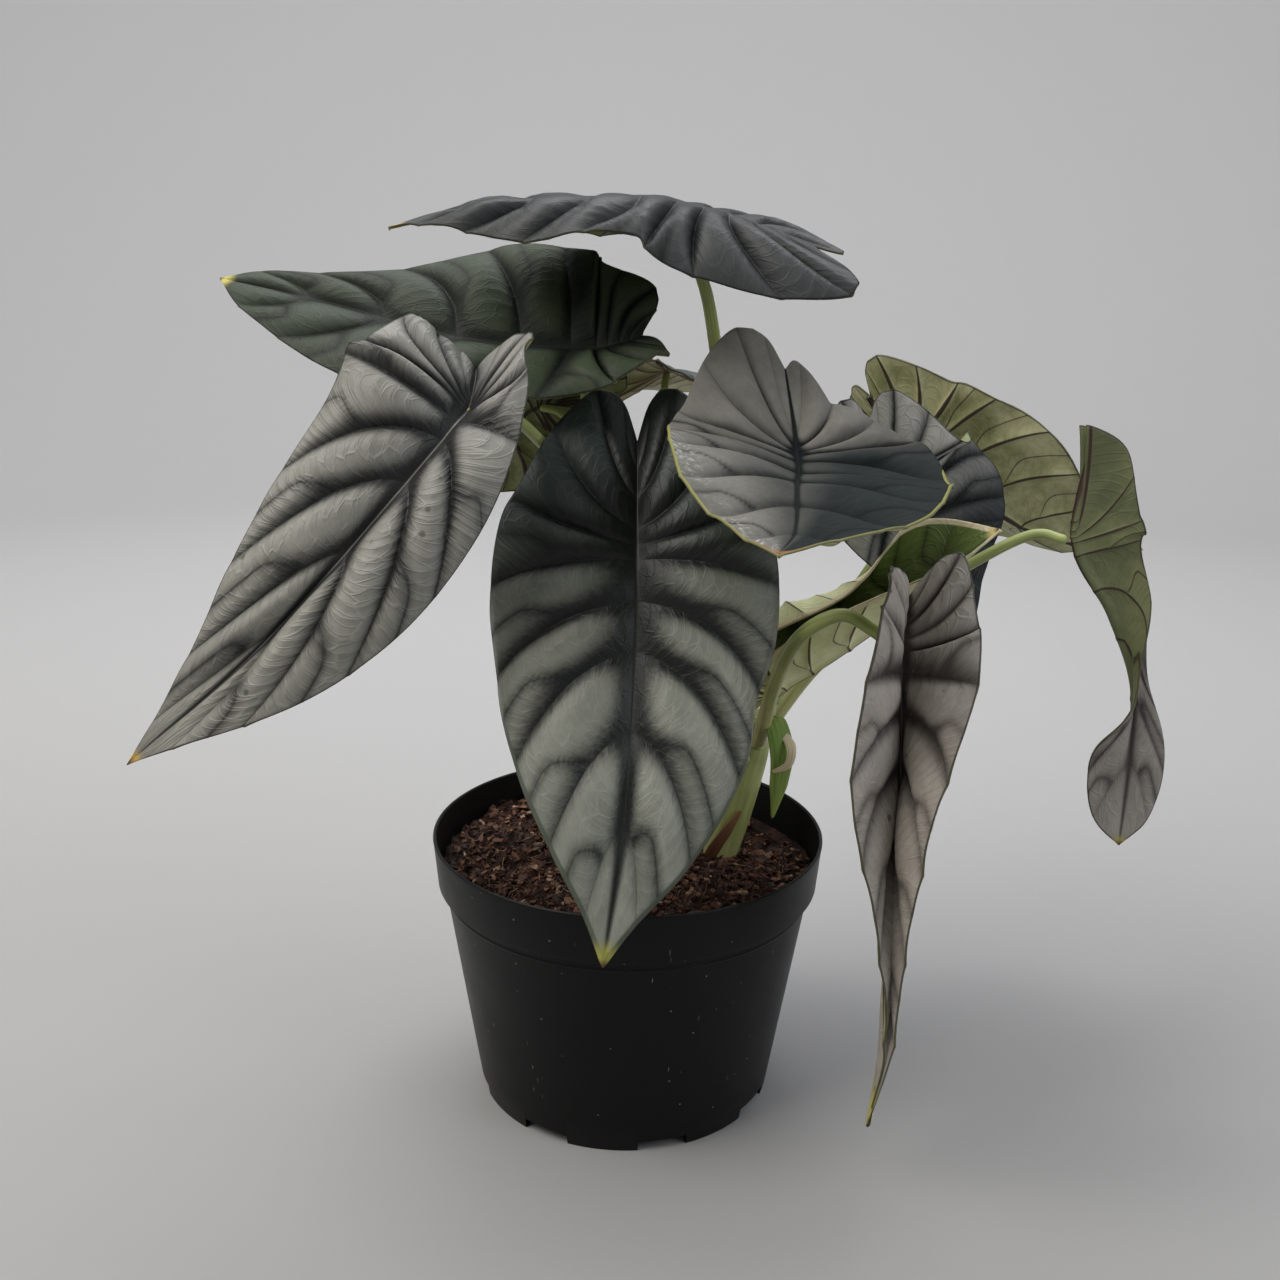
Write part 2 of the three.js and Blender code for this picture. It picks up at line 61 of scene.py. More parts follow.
def finish_for(name):
    """A new material, the function that adds nodes to it, and the place on the object."""
    material = bpy.data.materials.new(name)
    material.use_nodes = True
    tree = material.node_tree
    tree.nodes.clear()
    surface = tree.nodes.new("ShaderNodeOutputMaterial").inputs["Surface"]

    def add(kind, *inputs, out=0, stops=(), **named):
        """Adds a node and gives back an output. Names with a capital are inputs, others settings."""
        made = tree.nodes.new("ShaderNode" + kind)
        fills = dict(enumerate(inputs))
        for key, value in named.items():
            if key[0].isupper():
                fills[key.replace("_", " ")] = value
            else:
                setattr(made, key, value)
        for key, value in fills.items():
            if isinstance(value, bpy.types.NodeSocket):
                tree.links.new(value, made.inputs[key])
            else:
                made.inputs[key].default_value = linear(value) if isinstance(value, str) else value
        for index, (position, colour) in enumerate(stops):
            if index > 1:
                made.color_ramp.elements.new(position)
            made.color_ramp.elements[index].position = position
            made.color_ramp.elements[index].color = linear(colour)
        if kind == "BsdfPrincipled":
            tree.links.new(made.outputs[out], surface)
        return made.outputs[out]

    return material, add, add("TexCoord", out="Object")


def ringed(name, rings, sides, closed=True):
    """A round shell drawn up from a circle, one extrusion for each (radius, height) in mm.

    Where it isn't closed at its ends, only the first circle is filled.
    """
    radius, height = rings[0]
    bpy.ops.mesh.primitive_circle_add(vertices=sides, radius=radius * MM, location=(0, 0, height * MM),
                                      fill_type="NOTHING" if closed else "NGON")
    made = bpy.context.object
    made.name = name
    bpy.ops.object.transform_apply(location=True)
    bpy.ops.object.mode_set(mode="EDIT")
    bpy.ops.mesh.select_all(action="SELECT")
    for wide, tall in rings[1:]:
        bpy.ops.mesh.extrude_edges_move()
        bpy.ops.transform.translate(value=(0, 0, (tall - height) * MM))
        bpy.ops.transform.resize(value=(wide / radius, wide / radius, 1))
        radius, height = wide, tall
    if closed:
        bpy.ops.mesh.select_mode(type="EDGE")
        bpy.ops.mesh.select_all(action="DESELECT")
        bpy.ops.mesh.select_non_manifold()
        bpy.ops.mesh.fill_holes(sides=0)
        bpy.ops.mesh.select_all(action="SELECT")
        bpy.ops.mesh.normals_make_consistent(inside=False)
    bpy.ops.object.mode_set(mode="OBJECT")
    return made


def belongs(piece, slot, *nodes):
    """The piece stands for these solids and rides with the plant."""
    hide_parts(*nodes)
    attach(piece, "root")


def keep(piece, kind, **settings):
    """Adds a modifier and applies it."""
    made = piece.modifiers.new(kind.title(), kind)
    for name, value in settings.items():
        setattr(made, name, value)
    bpy.context.view_layer.objects.active = piece
    bpy.ops.object.modifier_apply(modifier=made.name)


pot = ringed("nursery_pot", POT_RINGS, 192)
keep(pot, "BEVEL", width=0.35 * MM, segments=2, limit_method="ANGLE", angle_limit=math.radians(25))
for turn in range(8):
    bpy.ops.mesh.primitive_cube_add(size=1)
    cutter = bpy.context.object
    cutter.matrix_world = (
        Matrix.Rotation(math.radians(-30 + 45 * turn), 4, "Z")
        @ Matrix.Translation((0, -FOOT_RADIUS * MM, 0))
        @ Matrix.Diagonal((*(size * MM for size in NOTCH_SIZE), 1))
    )
    keep(pot, "BOOLEAN", object=cutter, operation="DIFFERENCE", solver="EXACT")
    bpy.data.objects.remove(cutter)
pot.select_set(True)
bpy.ops.object.shade_smooth_by_angle(angle=math.radians(30))

# Black polypropylene, satin from the mould. Handling leaves dull patches, and marks in the cells
# of two kinds: slanting hair scratches 5 mm long where it was rubbed, and dust specks of 0.5 mm.
plastic, add, place = finish_for("black_polypropylene_moulded")
dull = add("TexNoise", place, Scale=38, Detail=4)
grain = add("TexNoise", place, Scale=2600, Detail=2)
rubbed = add("MapRange", dull, 0.42, 0.6)
marks = []
for tilt, cells_per_metre, core, rarity in (
    (0.5, (340, 340, 46), 0.04, 0.72), (-0.9, (300, 300, 30), 0.04, 0.72), (0, (210, 210, 210), 0.05, 0.8),
):
    slanted = add("Mapping", place, Rotation=(tilt, tilt, 0), Scale=cells_per_metre)
    cells = add("TexVoronoi", slanted, Scale=1)
    mark = add("MapRange", cells, core, 0.1, 0.75, 0)
    some = add("SeparateColor", cells.node.outputs["Color"])
    some = add("Math", some, rarity, operation="GREATER_THAN")
    marks.append(add("Math", mark, some, **TIMES))
scratch = add("Math", marks[0], marks[1], operation="MAXIMUM")
scratch = add("Math", scratch, rubbed, **TIMES)
dust = add("Math", marks[2], scratch, operation="MAXIMUM")
shade = add("MixRGB", dull, "#050506", "#0c0c0d")
shade = add("MixRGB", dust, shade, "#8d8b86")
rough = add("MapRange", dull, 0, 1, 0.34, 0.52)
bump = add("Bump", Height=grain, Strength=0.12, Distance=0.0002)
add("BsdfPrincipled", Base_Color=shade, Roughness=rough, IOR=1.49, Normal=bump, Specular_IOR_Level=0.2)
pot.data.materials.append(plastic)
belongs(pot, "black_plastic", "pot")


# Potting mix: damp coir and peat with bark crumbs, filled to about 15 mm under the rim, heaped
# up at the back left and sunk at the back right, where it dried away from the stem.
SOIL_LEVEL = 103.0
SOIL_RADIUS = 81.08
SOIL_RINGS = 66
LUMP_LENGTH = 17


def soil_height(x, y):
    """Height of the settled mix in mm, without its crumbs."""
    heap = 5 * math.exp(-((x + 22) ** 2 + (y - 30) ** 2) / (2 * 26 ** 2))
    sunk = -13 * math.exp(-((x - 52) ** 2 + (y - 34) ** 2) / (2 * 15 ** 2))
    turn = 2 * math.pi / LUMP_LENGTH
    lump = math.sin(turn * (x + 0.4 * y)) * math.cos(turn * (y - 0.3 * x) + 1)
    lump += 0.6 * math.sin(1.7 * turn * (y + 0.2 * x) + 2) * math.cos(1.9 * turn * x)
    return SOIL_LEVEL + heap + sunk + 1.3 * lump


def crumbly(x, y):
    """Height of the mix with its crumbs, in mm."""
    point = Vector((x, y, 3.0))
    crumb = noise.fractal(point / 6.5, 0.8, 2.1, 4) * 1.3
    clod = noise.cell(point / 2.6) * 0.9
    return soil_height(x, y) + crumb + clod - 0.45


tiers = [(63.2, 7.3), (77.2, 97.2), (SOIL_RADIUS, 99.6), (SOIL_RADIUS, 101.0)]
tiers += [(SOIL_RADIUS * (1 - i / SOIL_RINGS), SOIL_LEVEL) for i in range(1, SOIL_RINGS)]
soil = ringed("potting_mix", tiers, 230)
for vertex in soil.data.vertices:
    x, y, z = (c / MM for c in vertex.co)
    if z > 100.5:
        free = min(1.0, max(0.0, (81.3 - math.hypot(x, y)) / 4))
        base = max(100.0, soil_height(x, y))
        vertex.co.z = (base + free * (crumbly(x, y) - base)) * MM

# Damp coir: dark red-brown, almost matt, with clods of 6 mm and crumbs of 2 mm.
crumbs, add, place = finish_for("coir_and_peat_damp")
clods = add("TexNoise", place, Scale=160, Detail=6, Roughness=0.72)
wet = add("TexNoise", place, Scale=32, Detail=3)
pieces = add("TexVoronoi", place, Scale=520)
tone = add("ValToRGB", clods, stops=[(0.34, "#120b08"), (0.53, "#34201a"), (0.72, "#6b4634")])
damp = add("MixRGB", wet, "#7d6a60", "#fff2e8")
shade = add("MixRGB", 1, tone, damp, blend_type="MULTIPLY")
bump = add("Bump", Height=clods, Strength=0.9, Distance=0.0012)
bump = add("Bump", Height=pieces, Strength=0.6, Distance=0.0006, Normal=bump)
add("BsdfPrincipled", Base_Color=shade, Roughness=0.86, IOR=1.45, Specular_IOR_Level=0.3, Normal=bump)
soil.data.materials.append(crumbs)
belongs(soil, "potting_mix", "soil")


# Bark and coir chips of 1 to 8 mm lie loose on the mix, each a flake broken to five sides.
BITS_RADIUS = 79.5


def from_points(name, points, faces):
    """A mesh piece through points in mm."""
    mesh = bpy.data.meshes.new(name)
    mesh.from_pydata([[c * MM for c in p] for p in points], [], faces)
    made = bpy.data.objects.new(name, mesh)
    bpy.context.scene.collection.objects.link(made)
    return made


def scattered(name, shape_of, count, seed):
    """Many small loose bits in one mesh, each with its own tone between 0 and 1."""
    chance = random.Random(seed)
    points, faces, tones = [], [], []
    for _ in range(count):
        turn, away = chance.uniform(0, 2 * math.pi), BITS_RADIUS * math.sqrt(chance.random())
        bit_points, bit_faces = shape_of(chance, away * math.cos(turn), away * math.sin(turn))
        faces += [tuple(len(points) + i for i in face) for face in bit_faces]
        points += bit_points
        tones += [chance.random()] * len(bit_points)
    made = from_points(name, points, faces)
    made.data.attributes.new("tone", "FLOAT", "POINT").data.foreach_set("value", tones)
    return made


def chip(chance, x, y):
    """One broken flake lying on the mix."""
    long = chance.choice([0.8, 1.1, 1.3, 1.7, 2.2, 3]) * chance.uniform(0.7, 1.3)
    wide, thick = long * chance.uniform(0.35, 0.8), chance.uniform(0.4, 1.1)
    turn = Matrix.Rotation(chance.uniform(0, 2 * math.pi), 3, "Z")
    turn = turn @ Matrix.Rotation(chance.gauss(0, 0.45), 3, "X")
    turn = turn @ Matrix.Rotation(chance.gauss(0, 0.4), 3, "Y")
    centre = Vector((x, y, crumbly(x, y) + 0.25 * thick + chance.uniform(0, 0.7)))
    corners = []
    for level in (-1, 1):
        for step in range(5):
            angle = 2 * math.pi * step / 5 + chance.uniform(-0.4, 0.4)
            size = chance.uniform(0.75, 1.1)
            corner = Vector((long * size * math.cos(angle), wide * size * math.sin(angle), thick * level / 2))
            corners.append(tuple(centre + turn @ corner))
    faces = [(4, 3, 2, 1, 0), (5, 6, 7, 8, 9)]
    faces += [(j, (j + 1) % 5, 5 + (j + 1) % 5, 5 + j) for j in range(5)]
    return corners, faces


# Coir fibres: curved strands 5 to 19 mm long and 0.3 to 0.5 mm thick, tangled on top of the mix.
STRAND_STEPS = 7


def strand(chance, x, y):
    """One fibre lying over the crumbs."""
    length = chance.uniform(5, 19)
    heading = chance.uniform(0, 2 * math.pi)
    bend = chance.gauss(0, 0.09)
    thick = chance.uniform(0.13, 0.26)
    points, faces = [], []
    lift = chance.uniform(0.2, 2.2)
    for i in range(STRAND_STEPS):
        share = i / (STRAND_STEPS - 1)
        if math.hypot(x, y) > BITS_RADIUS - 0.5:
            heading += 1.2
        high = crumbly(x, y) + 0.3 + lift * math.sin(math.pi * share) + chance.uniform(0, 0.3)
        side = Vector((-math.sin(heading), math.cos(heading), 0))
        size = thick * (1 - 0.6 * share)
        middle = Vector((x, y, high))
        for angle in (0, 2.09, 4.19):
            points.append(tuple(middle + size * (side * math.cos(angle) + Vector((0, 0, math.sin(angle))))))
        x += math.cos(heading) * length / STRAND_STEPS
        y += math.sin(heading) * length / STRAND_STEPS
        heading += bend * length / STRAND_STEPS + chance.gauss(0, 0.12)
    last = 3 * (STRAND_STEPS - 1)
    for i in range(0, last, 3):
        faces += [(i + j, i + (j + 1) % 3, i + 3 + (j + 1) % 3, i + 3 + j) for j in range(3)]
    faces += [(2, 1, 0), (last, last + 1, last + 2)]
    return points, faces


# Dry bark and coir bits: from near black through red-brown to a pale straw, with fine streaks.
bits, add, place = finish_for("bark_and_coir_bits")
own = add("Attribute", out="Fac", attribute_name="tone")
tone = add(
    "ValToRGB", own,
    stops=[(0, "#1c110c"), (0.4, "#44271b"), (0.7, "#663f2c"), (0.9, "#87634a"), (1, "#b4967a")],
)
streak = add("TexNoise", place, Scale=900, Detail=3)
worn = add("MixRGB", streak, "#8a8a8a", "#ffffff")
shade = add("MixRGB", 1, tone, worn, blend_type="MULTIPLY")
bump = add("Bump", Height=streak, Strength=0.7, Distance=0.0004)
add("BsdfPrincipled", Base_Color=shade, Roughness=0.72, IOR=1.45, Specular_IOR_Level=0.35, Normal=bump)
chips = scattered("bark_chips", chip, 3800, 11)
fibres = scattered("coir_fibres", strand, 900, 12)
for piece in (chips, fibres):
    piece.data.materials.append(bits)
    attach(piece, "root")


# Leaf blades: leathery shields 120 to 230 mm long on nine pairs of sunken main veins. The silver
# panels puff up between the veins, the veins stand out below, and each blade hangs by its middle.
def through(knots, t):
    """Points on a smooth line through the knots, for t from 0 to 1."""
    knots = np.asarray(knots, float)
    t = np.clip(np.asarray(t, float), 0, 1) * (len(knots) - 1)
    i = np.minimum(t.astype(int), len(knots) - 2)
    w = (t - i)[..., None]
    ends = np.vstack([2 * knots[0] - knots[1], knots, 2 * knots[-1] - knots[-2]])
    a, b, c, d = ends[i], ends[i + 1], ends[i + 2], ends[i + 3]
    return (b + w * (c - a) / 2 + w ** 2 * (a - 2.5 * b + 2 * c - d / 2)
            + w ** 3 * (1.5 * (b - c) + (d - a) / 2))


def unit(v):
    """The vectors with length 1."""
    return v / np.maximum(np.linalg.norm(v, axis=-1, keepdims=True), 1e-12)


def smooth(low, high, x):
    """A soft step from 0 at low to 1 at high."""
    x = np.clip((x - low) / (high - low), 0, 1)
    return x * x * (3 - 2 * x)


# A blade is laid out by veins: k counts them from the lobe's end, 0, to the leaf's tip, 10, and r
# goes from the midrib, 0, to the margin, 1. MARGIN has the margin's distance out and along there.
VEINS = 10
MARGIN = [
    [0, -0.68], [0.12, -0.94], [0.32, -1], [0.62, -0.7], [0.88, -0.22], [1, 0.12],
    [0.95, 0.34], [0.76, 0.55], [0.45, 0.75], [0.18, 0.9], [0, 1],
]
VEIN_STRENGTH = np.array([0, 0.45, 0.95, 0.8, 1, 1, 1, 0.95, 0.8, 0.5, 0])
SUB_ROWS = 18
SUB_COLUMNS = 34
TRACK_STEPS = 60
PANEL_PUFF = 3.5
THICKEST = 4.0
THIN = 0.8
USUAL_LEAF = dict(
    roots=[-0.68, -0.14, -0.06, -0.01, 0.01, 0.05, 0.17, 0.33, 0.52, 0.73, 1], margin={}, pulled=[],
    lobes=[1, 1], slant=0.45, puff=1, wavy=1, hollow=0.8, turned=0, hem=0, hem_from=0, rib=1,
    band=1, bold=1, fade=0.35, spine=1, turn=(0, 0.55), painted_shade_side=0,
)


def bare_surface(leaf, side, k, r):
    """The blade without relief: points, upward directions, shares across and shares along."""
    line, up, *halves = zip(*leaf["stations"])
    samples = TRACK_STEPS * (len(line) - 1)
    track = through(line, np.linspace(0, 1, samples + 1))
    lengths = np.concatenate([[0], np.cumsum(np.linalg.norm(np.diff(track, axis=0), axis=1))])
    lobe = lengths[TRACK_STEPS]
    blade = lengths[-1] - lobe
    which = 0 if side < 0 else 1
    margin = [leaf["margin"].get(i, usual) for i, usual in enumerate(MARGIN)]
    across, run = np.moveaxis(through(margin, k / VEINS), -1, 0)
    stretch = 1 + (leaf["lobes"][which] - 1) * np.minimum(1, across / 0.3)
    end = run * (lobe * stretch + (blade - lobe * stretch) * smooth(-0.35, 0.35, run))
    root = np.interp(k, np.arange(VEINS + 1), leaf["roots"])
    root = root * np.where(root < 0, lobe, blade)
    bend = root + 0.1 * (end - root)
    share = 2 * r * (1 - r) * 0.58 * across + r * r * across
    s = (1 - r) ** 2 * root + 2 * r * (1 - r) * bend + r * r * end
    t = np.interp(s + lobe, lengths, np.linspace(0, 1, samples + 1))
    tangent = unit(through(line, t + 1e-4) - through(line, t - 1e-4))
    normal = through(up, t)
    normal = unit(normal - tangent * np.sum(normal * tangent, axis=-1, keepdims=True))
    out = np.cross(tangent, normal) * side
    half = through(halves[which], t)
    width, rise, curl = half[..., 0], np.radians(half[..., 1]), np.radians(half[..., 2])
    bow = curl / width
    bow = np.where(np.abs(bow) < 1e-6, 1e-6, bow)
    angle = rise + bow * width * share
    reach = (np.sin(angle) - np.sin(rise)) / bow
    lift = (np.cos(rise) - np.cos(angle)) / bow
    upper = normal * np.cos(angle)[..., None] - out * np.sin(angle)[..., None]
    fold = np.abs(through(halves[0], t)[..., 1] + through(halves[1], t)[..., 1]) / 2
    crest = normal / np.cos(np.radians(np.minimum(fold, 62)))[..., None]
    upper = np.where(r[..., None] < 1e-9, crest, upper)
    point = through(line, t) + out * reach[..., None] + normal * lift[..., None]
    return point, upper, across, s / blade


def half_blade(leaf, side, k, r):
    """One half: its points, its thickness, the weights that its finishes read, and its net."""
    own = leaf["stations"][0][0][0]
    point, upper, across, along = bare_surface(leaf, side, k, r)
    i = np.minimum(k.astype(int), VEINS - 1)
    f = k - i
    veins = bare_surface(leaf, side, *np.meshgrid(np.arange(VEINS + 1.0), r[0], indexing="ij"))[0]
    step = np.linalg.norm(np.diff(point, axis=1), axis=2)
    rib = np.concatenate([np.zeros((len(k), 1)), np.cumsum(step, axis=1)], axis=1)
    ahead = unit(np.gradient(point, axis=1))

    def laid(panel):
        """Lengths along and across the panel beside a vein, and the gap to the next vein."""
        between = np.diff(veins, axis=0)[panel[:, 0]]
        shift = np.sum(between * ahead, axis=2)
        gap = np.linalg.norm(between - ahead * shift[..., None], axis=2)
        share = k - panel
        bent = leaf["slant"] * 2 * share * (1 - share) * gap
        return rib + share * shift - bent, 60 * panel + share * gap + 700 * (side > 0), gap

    chevron, over, gap = laid(i)
    end_chevron, end_over, _ = laid(np.maximum(np.ceil(k).astype(int) - 1, 0))
    before, after = f * gap, (1 - f) * gap
    edge = rib[:, -1:] - rib
    tip = np.linalg.norm(point - point[-1:, :1], axis=2)
    sinus = np.linalg.norm(point - point[:1, :1], axis=2)
    edge = np.where(k < 1, np.minimum(edge, 0.9 * before + 0.02 * sinus), edge)
    hub = np.exp(-(np.linalg.norm(point - np.asarray(leaf["stations"][1][0], float), axis=2) / 6) ** 2)

    # A branch leaves each main vein about a third of the way out and bends toward the margin.
    odd = np.sin(12.9 * i + 4.1 * side + 0.37 * own)
    leave = 0.36 + 0.14 * odd
    path = 1 - (0.5 + 0.08 * odd) * smooth(leave, leave + 0.42, r)
    twig = (f - path) * gap
    branch = ((i >= 4) & (i <= 8)) * smooth(leave, leave + 0.16, r)

    # Panels puff up between the veins, with cross ribs 6 mm apart, and the margin waves.
    ridge = 1 - np.abs(2 * f - 1) ** 2.6
    swell = (1 - (1 - r) ** 3) * (1 - 0.85 * r ** 4)
    lively = 1 + 0.16 * np.sin(7.3 * i + 2 * side + own)
    wave = r ** 4 * np.sin(1.5 * k + side + own)
    fine = 0.35 * r ** 5 * np.sin(5.7 * k + 2 * side + own)
    ladder = (0.09 + 0.06 * np.sin(0.31 * rib + 2.3 * i)) * ridge * smooth(3, 10, gap)
    ladder = ladder * np.sin(2 * np.pi * chevron / 6.2 + 2.4 * np.sin(0.23 * rib + i))
    groove = 0.75 * branch * np.exp(-(twig / 2.9) ** 2)
    relief = PANEL_PUFF * leaf["puff"] * np.minimum(1, gap / 12) * lively * ridge * swell
    relief = relief + (1.2 * wave + fine) * leaf["wavy"] + (ladder - groove) * swell
    relief = relief * np.minimum(1, 3 * across) - leaf["hollow"] * hub
    rim = leaf["turned"] * r ** 5 * np.sin(np.pi * np.clip((k - 3.6) / 6.4, 0, 1))
    hem = leaf["hem"] * smooth(3.6, 0.2, edge) * smooth(4.5, 6, k)
    crest = upper[:, :1]
    mitre = smooth(0, 5, rib)[..., None]
    upper = np.where(r[..., None] < 1e-9, crest, unit(crest + (unit(upper) - crest) * mitre))
    point = point + upper * (relief + rim - hem + THIN / 2)[..., None]
    for pulled_side, centre, spread, pull in leaf["pulled"]:
        if pulled_side == side:
            share = r ** 2 * np.exp(-((k - centre) / spread) ** 2) * np.minimum(1, 4 * across)
            point = point + share[..., None] * np.asarray(pull, float)

    # Dark bands follow the midrib and the veins, wider on the side of the leaf's middle.
    far = np.clip(along, 0, 1)
    # The tone blends a blade's near colour, at the hub, into its far colour toward the tip. Where the two
    # differ it is painted light and shade: on some blades a painted-dark hub end, on others a painted-light
    # hub end and a painted-dark tip end.
    low, high = leaf["turn"]
    tone = smooth(low, high, along)
    # A blade with a painted shade side gets painted shade over that half from the fourth vein on, and its
    # other half is painted lighter toward the margin.
    if leaf["painted_shade_side"]:
        tone = 0.7 * smooth(0.8, 0.0, r) * tone
        if side == leaf["painted_shade_side"]:
            tone = smooth(2.6, 5.0, k) * (0.7 + 0.3 * smooth(0, 0.35, r))
    wide = leaf["band"]
    strength = VEIN_STRENGTH * leaf["bold"]
    beside = ((before, strength[i]), (after, strength[i + 1]))
    line = np.minimum(*(away / (0.05 + bold) + 0.5 * (1 - bold) for away, bold in beside))
    spread = wide * np.clip(gap / 14, 0.4, 1)
    band = np.maximum(
        strength[i] * np.exp(-(before / (spread * (2.0 + 1.6 * (1 - r)))) ** 1.5),
        strength[i + 1] * np.exp(-(after / (spread * (4.2 + 2.6 * (1 - r)))) ** 1.6),
    ) * (1 - leaf["fade"] * r ** 1.5)
    middle = np.exp(-(rib / (wide * leaf["spine"] * (8.0 - 6.6 * far ** 0.75))) ** 1.7)
    middle = middle * (1 - 0.45 * far ** 3)
    soft = 0.6 * branch * np.exp(-(np.abs(twig) / (wide * 2.3)) ** 1.5)

    # Below, the veins are cords: the midrib 2 mm wide and thinning, the side veins about 1 mm.
    vein = np.minimum(*(away / (0.15 + bold) for away, bold in beside))
    firm = leaf["rib"]
    cord = vein / ((1.0 - 0.5 * r) * np.clip(gap / 12, 0.3, 1))
    bulge = 2.0 * (1 - 0.8 * far) * np.exp(-(rib / (1.7 - 0.7 * far)) ** 2)
    bulge = bulge + 0.5 * (1 - 0.6 * r) * np.exp(-(vein / 0.9) ** 2)
    bulge = bulge + 0.2 * branch * np.exp(-(twig / 0.7) ** 2)
    # The dark weight also takes in a 6 mm spot at the hub, where the stalk joins in its hollow: painted shade
    # in the hollow.
    weights = {
        "dark": 1 - (1 - band) * (1 - middle) * (1 - soft) * (1 - 0.8 * hub ** 3),
        "crisp": np.minimum(rib, 2.5 + np.minimum(before, after)),
        "line": np.minimum(line, rib), "twig": twig, "branch": branch,
        "under": np.minimum(cord, rib / (firm * (2.1 - 1.3 * far))), "edge": edge,
        "hem": edge + 30 * smooth(leaf["hem_from"] + 0.4, leaf["hem_from"] - 0.4, k),
        "tip": tip, "tone": tone, "calm": smooth(2, 11, gap) * smooth(0, 6, rib),
    }
    thick = np.clip((THIN + firm * bulge) / THICKEST, 0, 1)
    return point, thick, weights, ((chevron, end_chevron), (over, end_over))


def blade(name, leaf, finishes):
    """The blade as one sheet of two halves, with its weights and its net, then made thick."""
    steps = np.arange(SUB_ROWS) / SUB_ROWS
    steps = 0.35 * steps + 0.65 * (1 - np.cos(np.pi * steps)) / 2
    rows = np.concatenate([i + steps for i in range(VEINS)] + [[VEINS]])
    even = np.linspace(0, 1, SUB_COLUMNS + 1)
    columns = 0.55 * even + 0.45 * (1 - np.cos(np.pi * even)) / 2
    halves = [half_blade(leaf, side, *np.meshgrid(rows, columns, indexing="ij")) for side in (-1, 1)]
    cells_across, cells_along = 2 * SUB_COLUMNS, SUB_ROWS * VEINS
    bpy.ops.mesh.primitive_grid_add(x_subdivisions=cells_across, y_subdivisions=cells_along, size=2)
    made = bpy.context.object
    made.name = name
    mesh = made.data
    flat = np.empty(len(mesh.vertices) * 3)
    mesh.vertices.foreach_get("co", flat)
    flat = (flat.reshape(-1, 3) + 1) / 2
    column = np.rint(flat[:, 0] * cells_across).astype(int) - SUB_COLUMNS
    row = np.rint(flat[:, 1] * cells_along).astype(int)

    def whole(left, right):
        """The values of both halves, in the order of the sheet's vertices."""
        return np.concatenate([left[:, :0:-1], right], axis=1)[row, column + SUB_COLUMNS]

    points, thicks, weights, nets = zip(*halves)
    mesh.vertices.foreach_set("co", (whole(*points) * MM).ravel())
    for key in weights[0]:
        values = whole(weights[0][key], weights[1][key]).astype(np.float32)
        mesh.attributes.new(key, "FLOAT", "POINT").data.foreach_set("value", values)
    corners = np.empty(len(mesh.loops), int)
    mesh.loops.foreach_get("vertex_index", corners)
    corner_row, corner_column = row[corners].reshape(-1, 4), column[corners].reshape(-1, 4)
    on_left = corner_column.max(axis=1, keepdims=True) <= 0
    at_end = corner_row > corner_row.min(axis=1, keepdims=True)
    corner = corner_row, abs(corner_column)
    net = []
    for pair in zip(*nets):
        left, right = (np.where(at_end, end[corner], usual[corner]) for usual, end in pair)
        net.append(np.where(on_left, left, right).ravel() / 100)
    mesh.uv_layers[0].name = "net"
    mesh.uv_layers[0].data.foreach_set("uv", np.stack(net, axis=1).astype(np.float32).ravel())
    group = made.vertex_groups.new(name="thick")
    for index, weight in enumerate(whole(*thicks)):
        group.add([index], float(weight), "REPLACE")
    bpy.ops.object.mode_set(mode="EDIT")
    bpy.ops.mesh.select_all(action="SELECT")
    bpy.ops.mesh.remove_doubles(threshold=1e-6)
    bpy.ops.object.mode_set(mode="OBJECT")
    for finish in finishes:
        mesh.materials.append(finish)
    keep(made, "SOLIDIFY", thickness=THICKEST * MM, offset=-1, vertex_group="thick",
         use_even_offset=False, material_offset=1, material_offset_rim=2)
    made.vertex_groups.clear()
    mesh.shade_smooth()
    return made


# The two faces of a blade: which colours, widths in mm and strengths a leaf has, unless it says
# its own. The net is the map of lengths along and across the panels, in units of 0.1 m.
USUAL_LOOK = dict(
    soft=0.14, line=0.6, veinlet=0.16, veinlet_near=1, fine="#a9a9a0", thread=0.06,
    thread_colour="#8c8d84", hem_mm=0.6, hem_show=0.8, hem_colour="#23261f", tip_mm=8, burnt=1,
    tip_colour="#a8a055", rough=0.46, gloss=0.45, rungs=0.1, net=0.5, dots=0, scuffs_and_sheen=0,
    back="#747b52", back_light="#989c70", back_deep="#5a6240", vein="#35201f", back_hem_mm=0.6,
    back_hem="#2c2420",
)


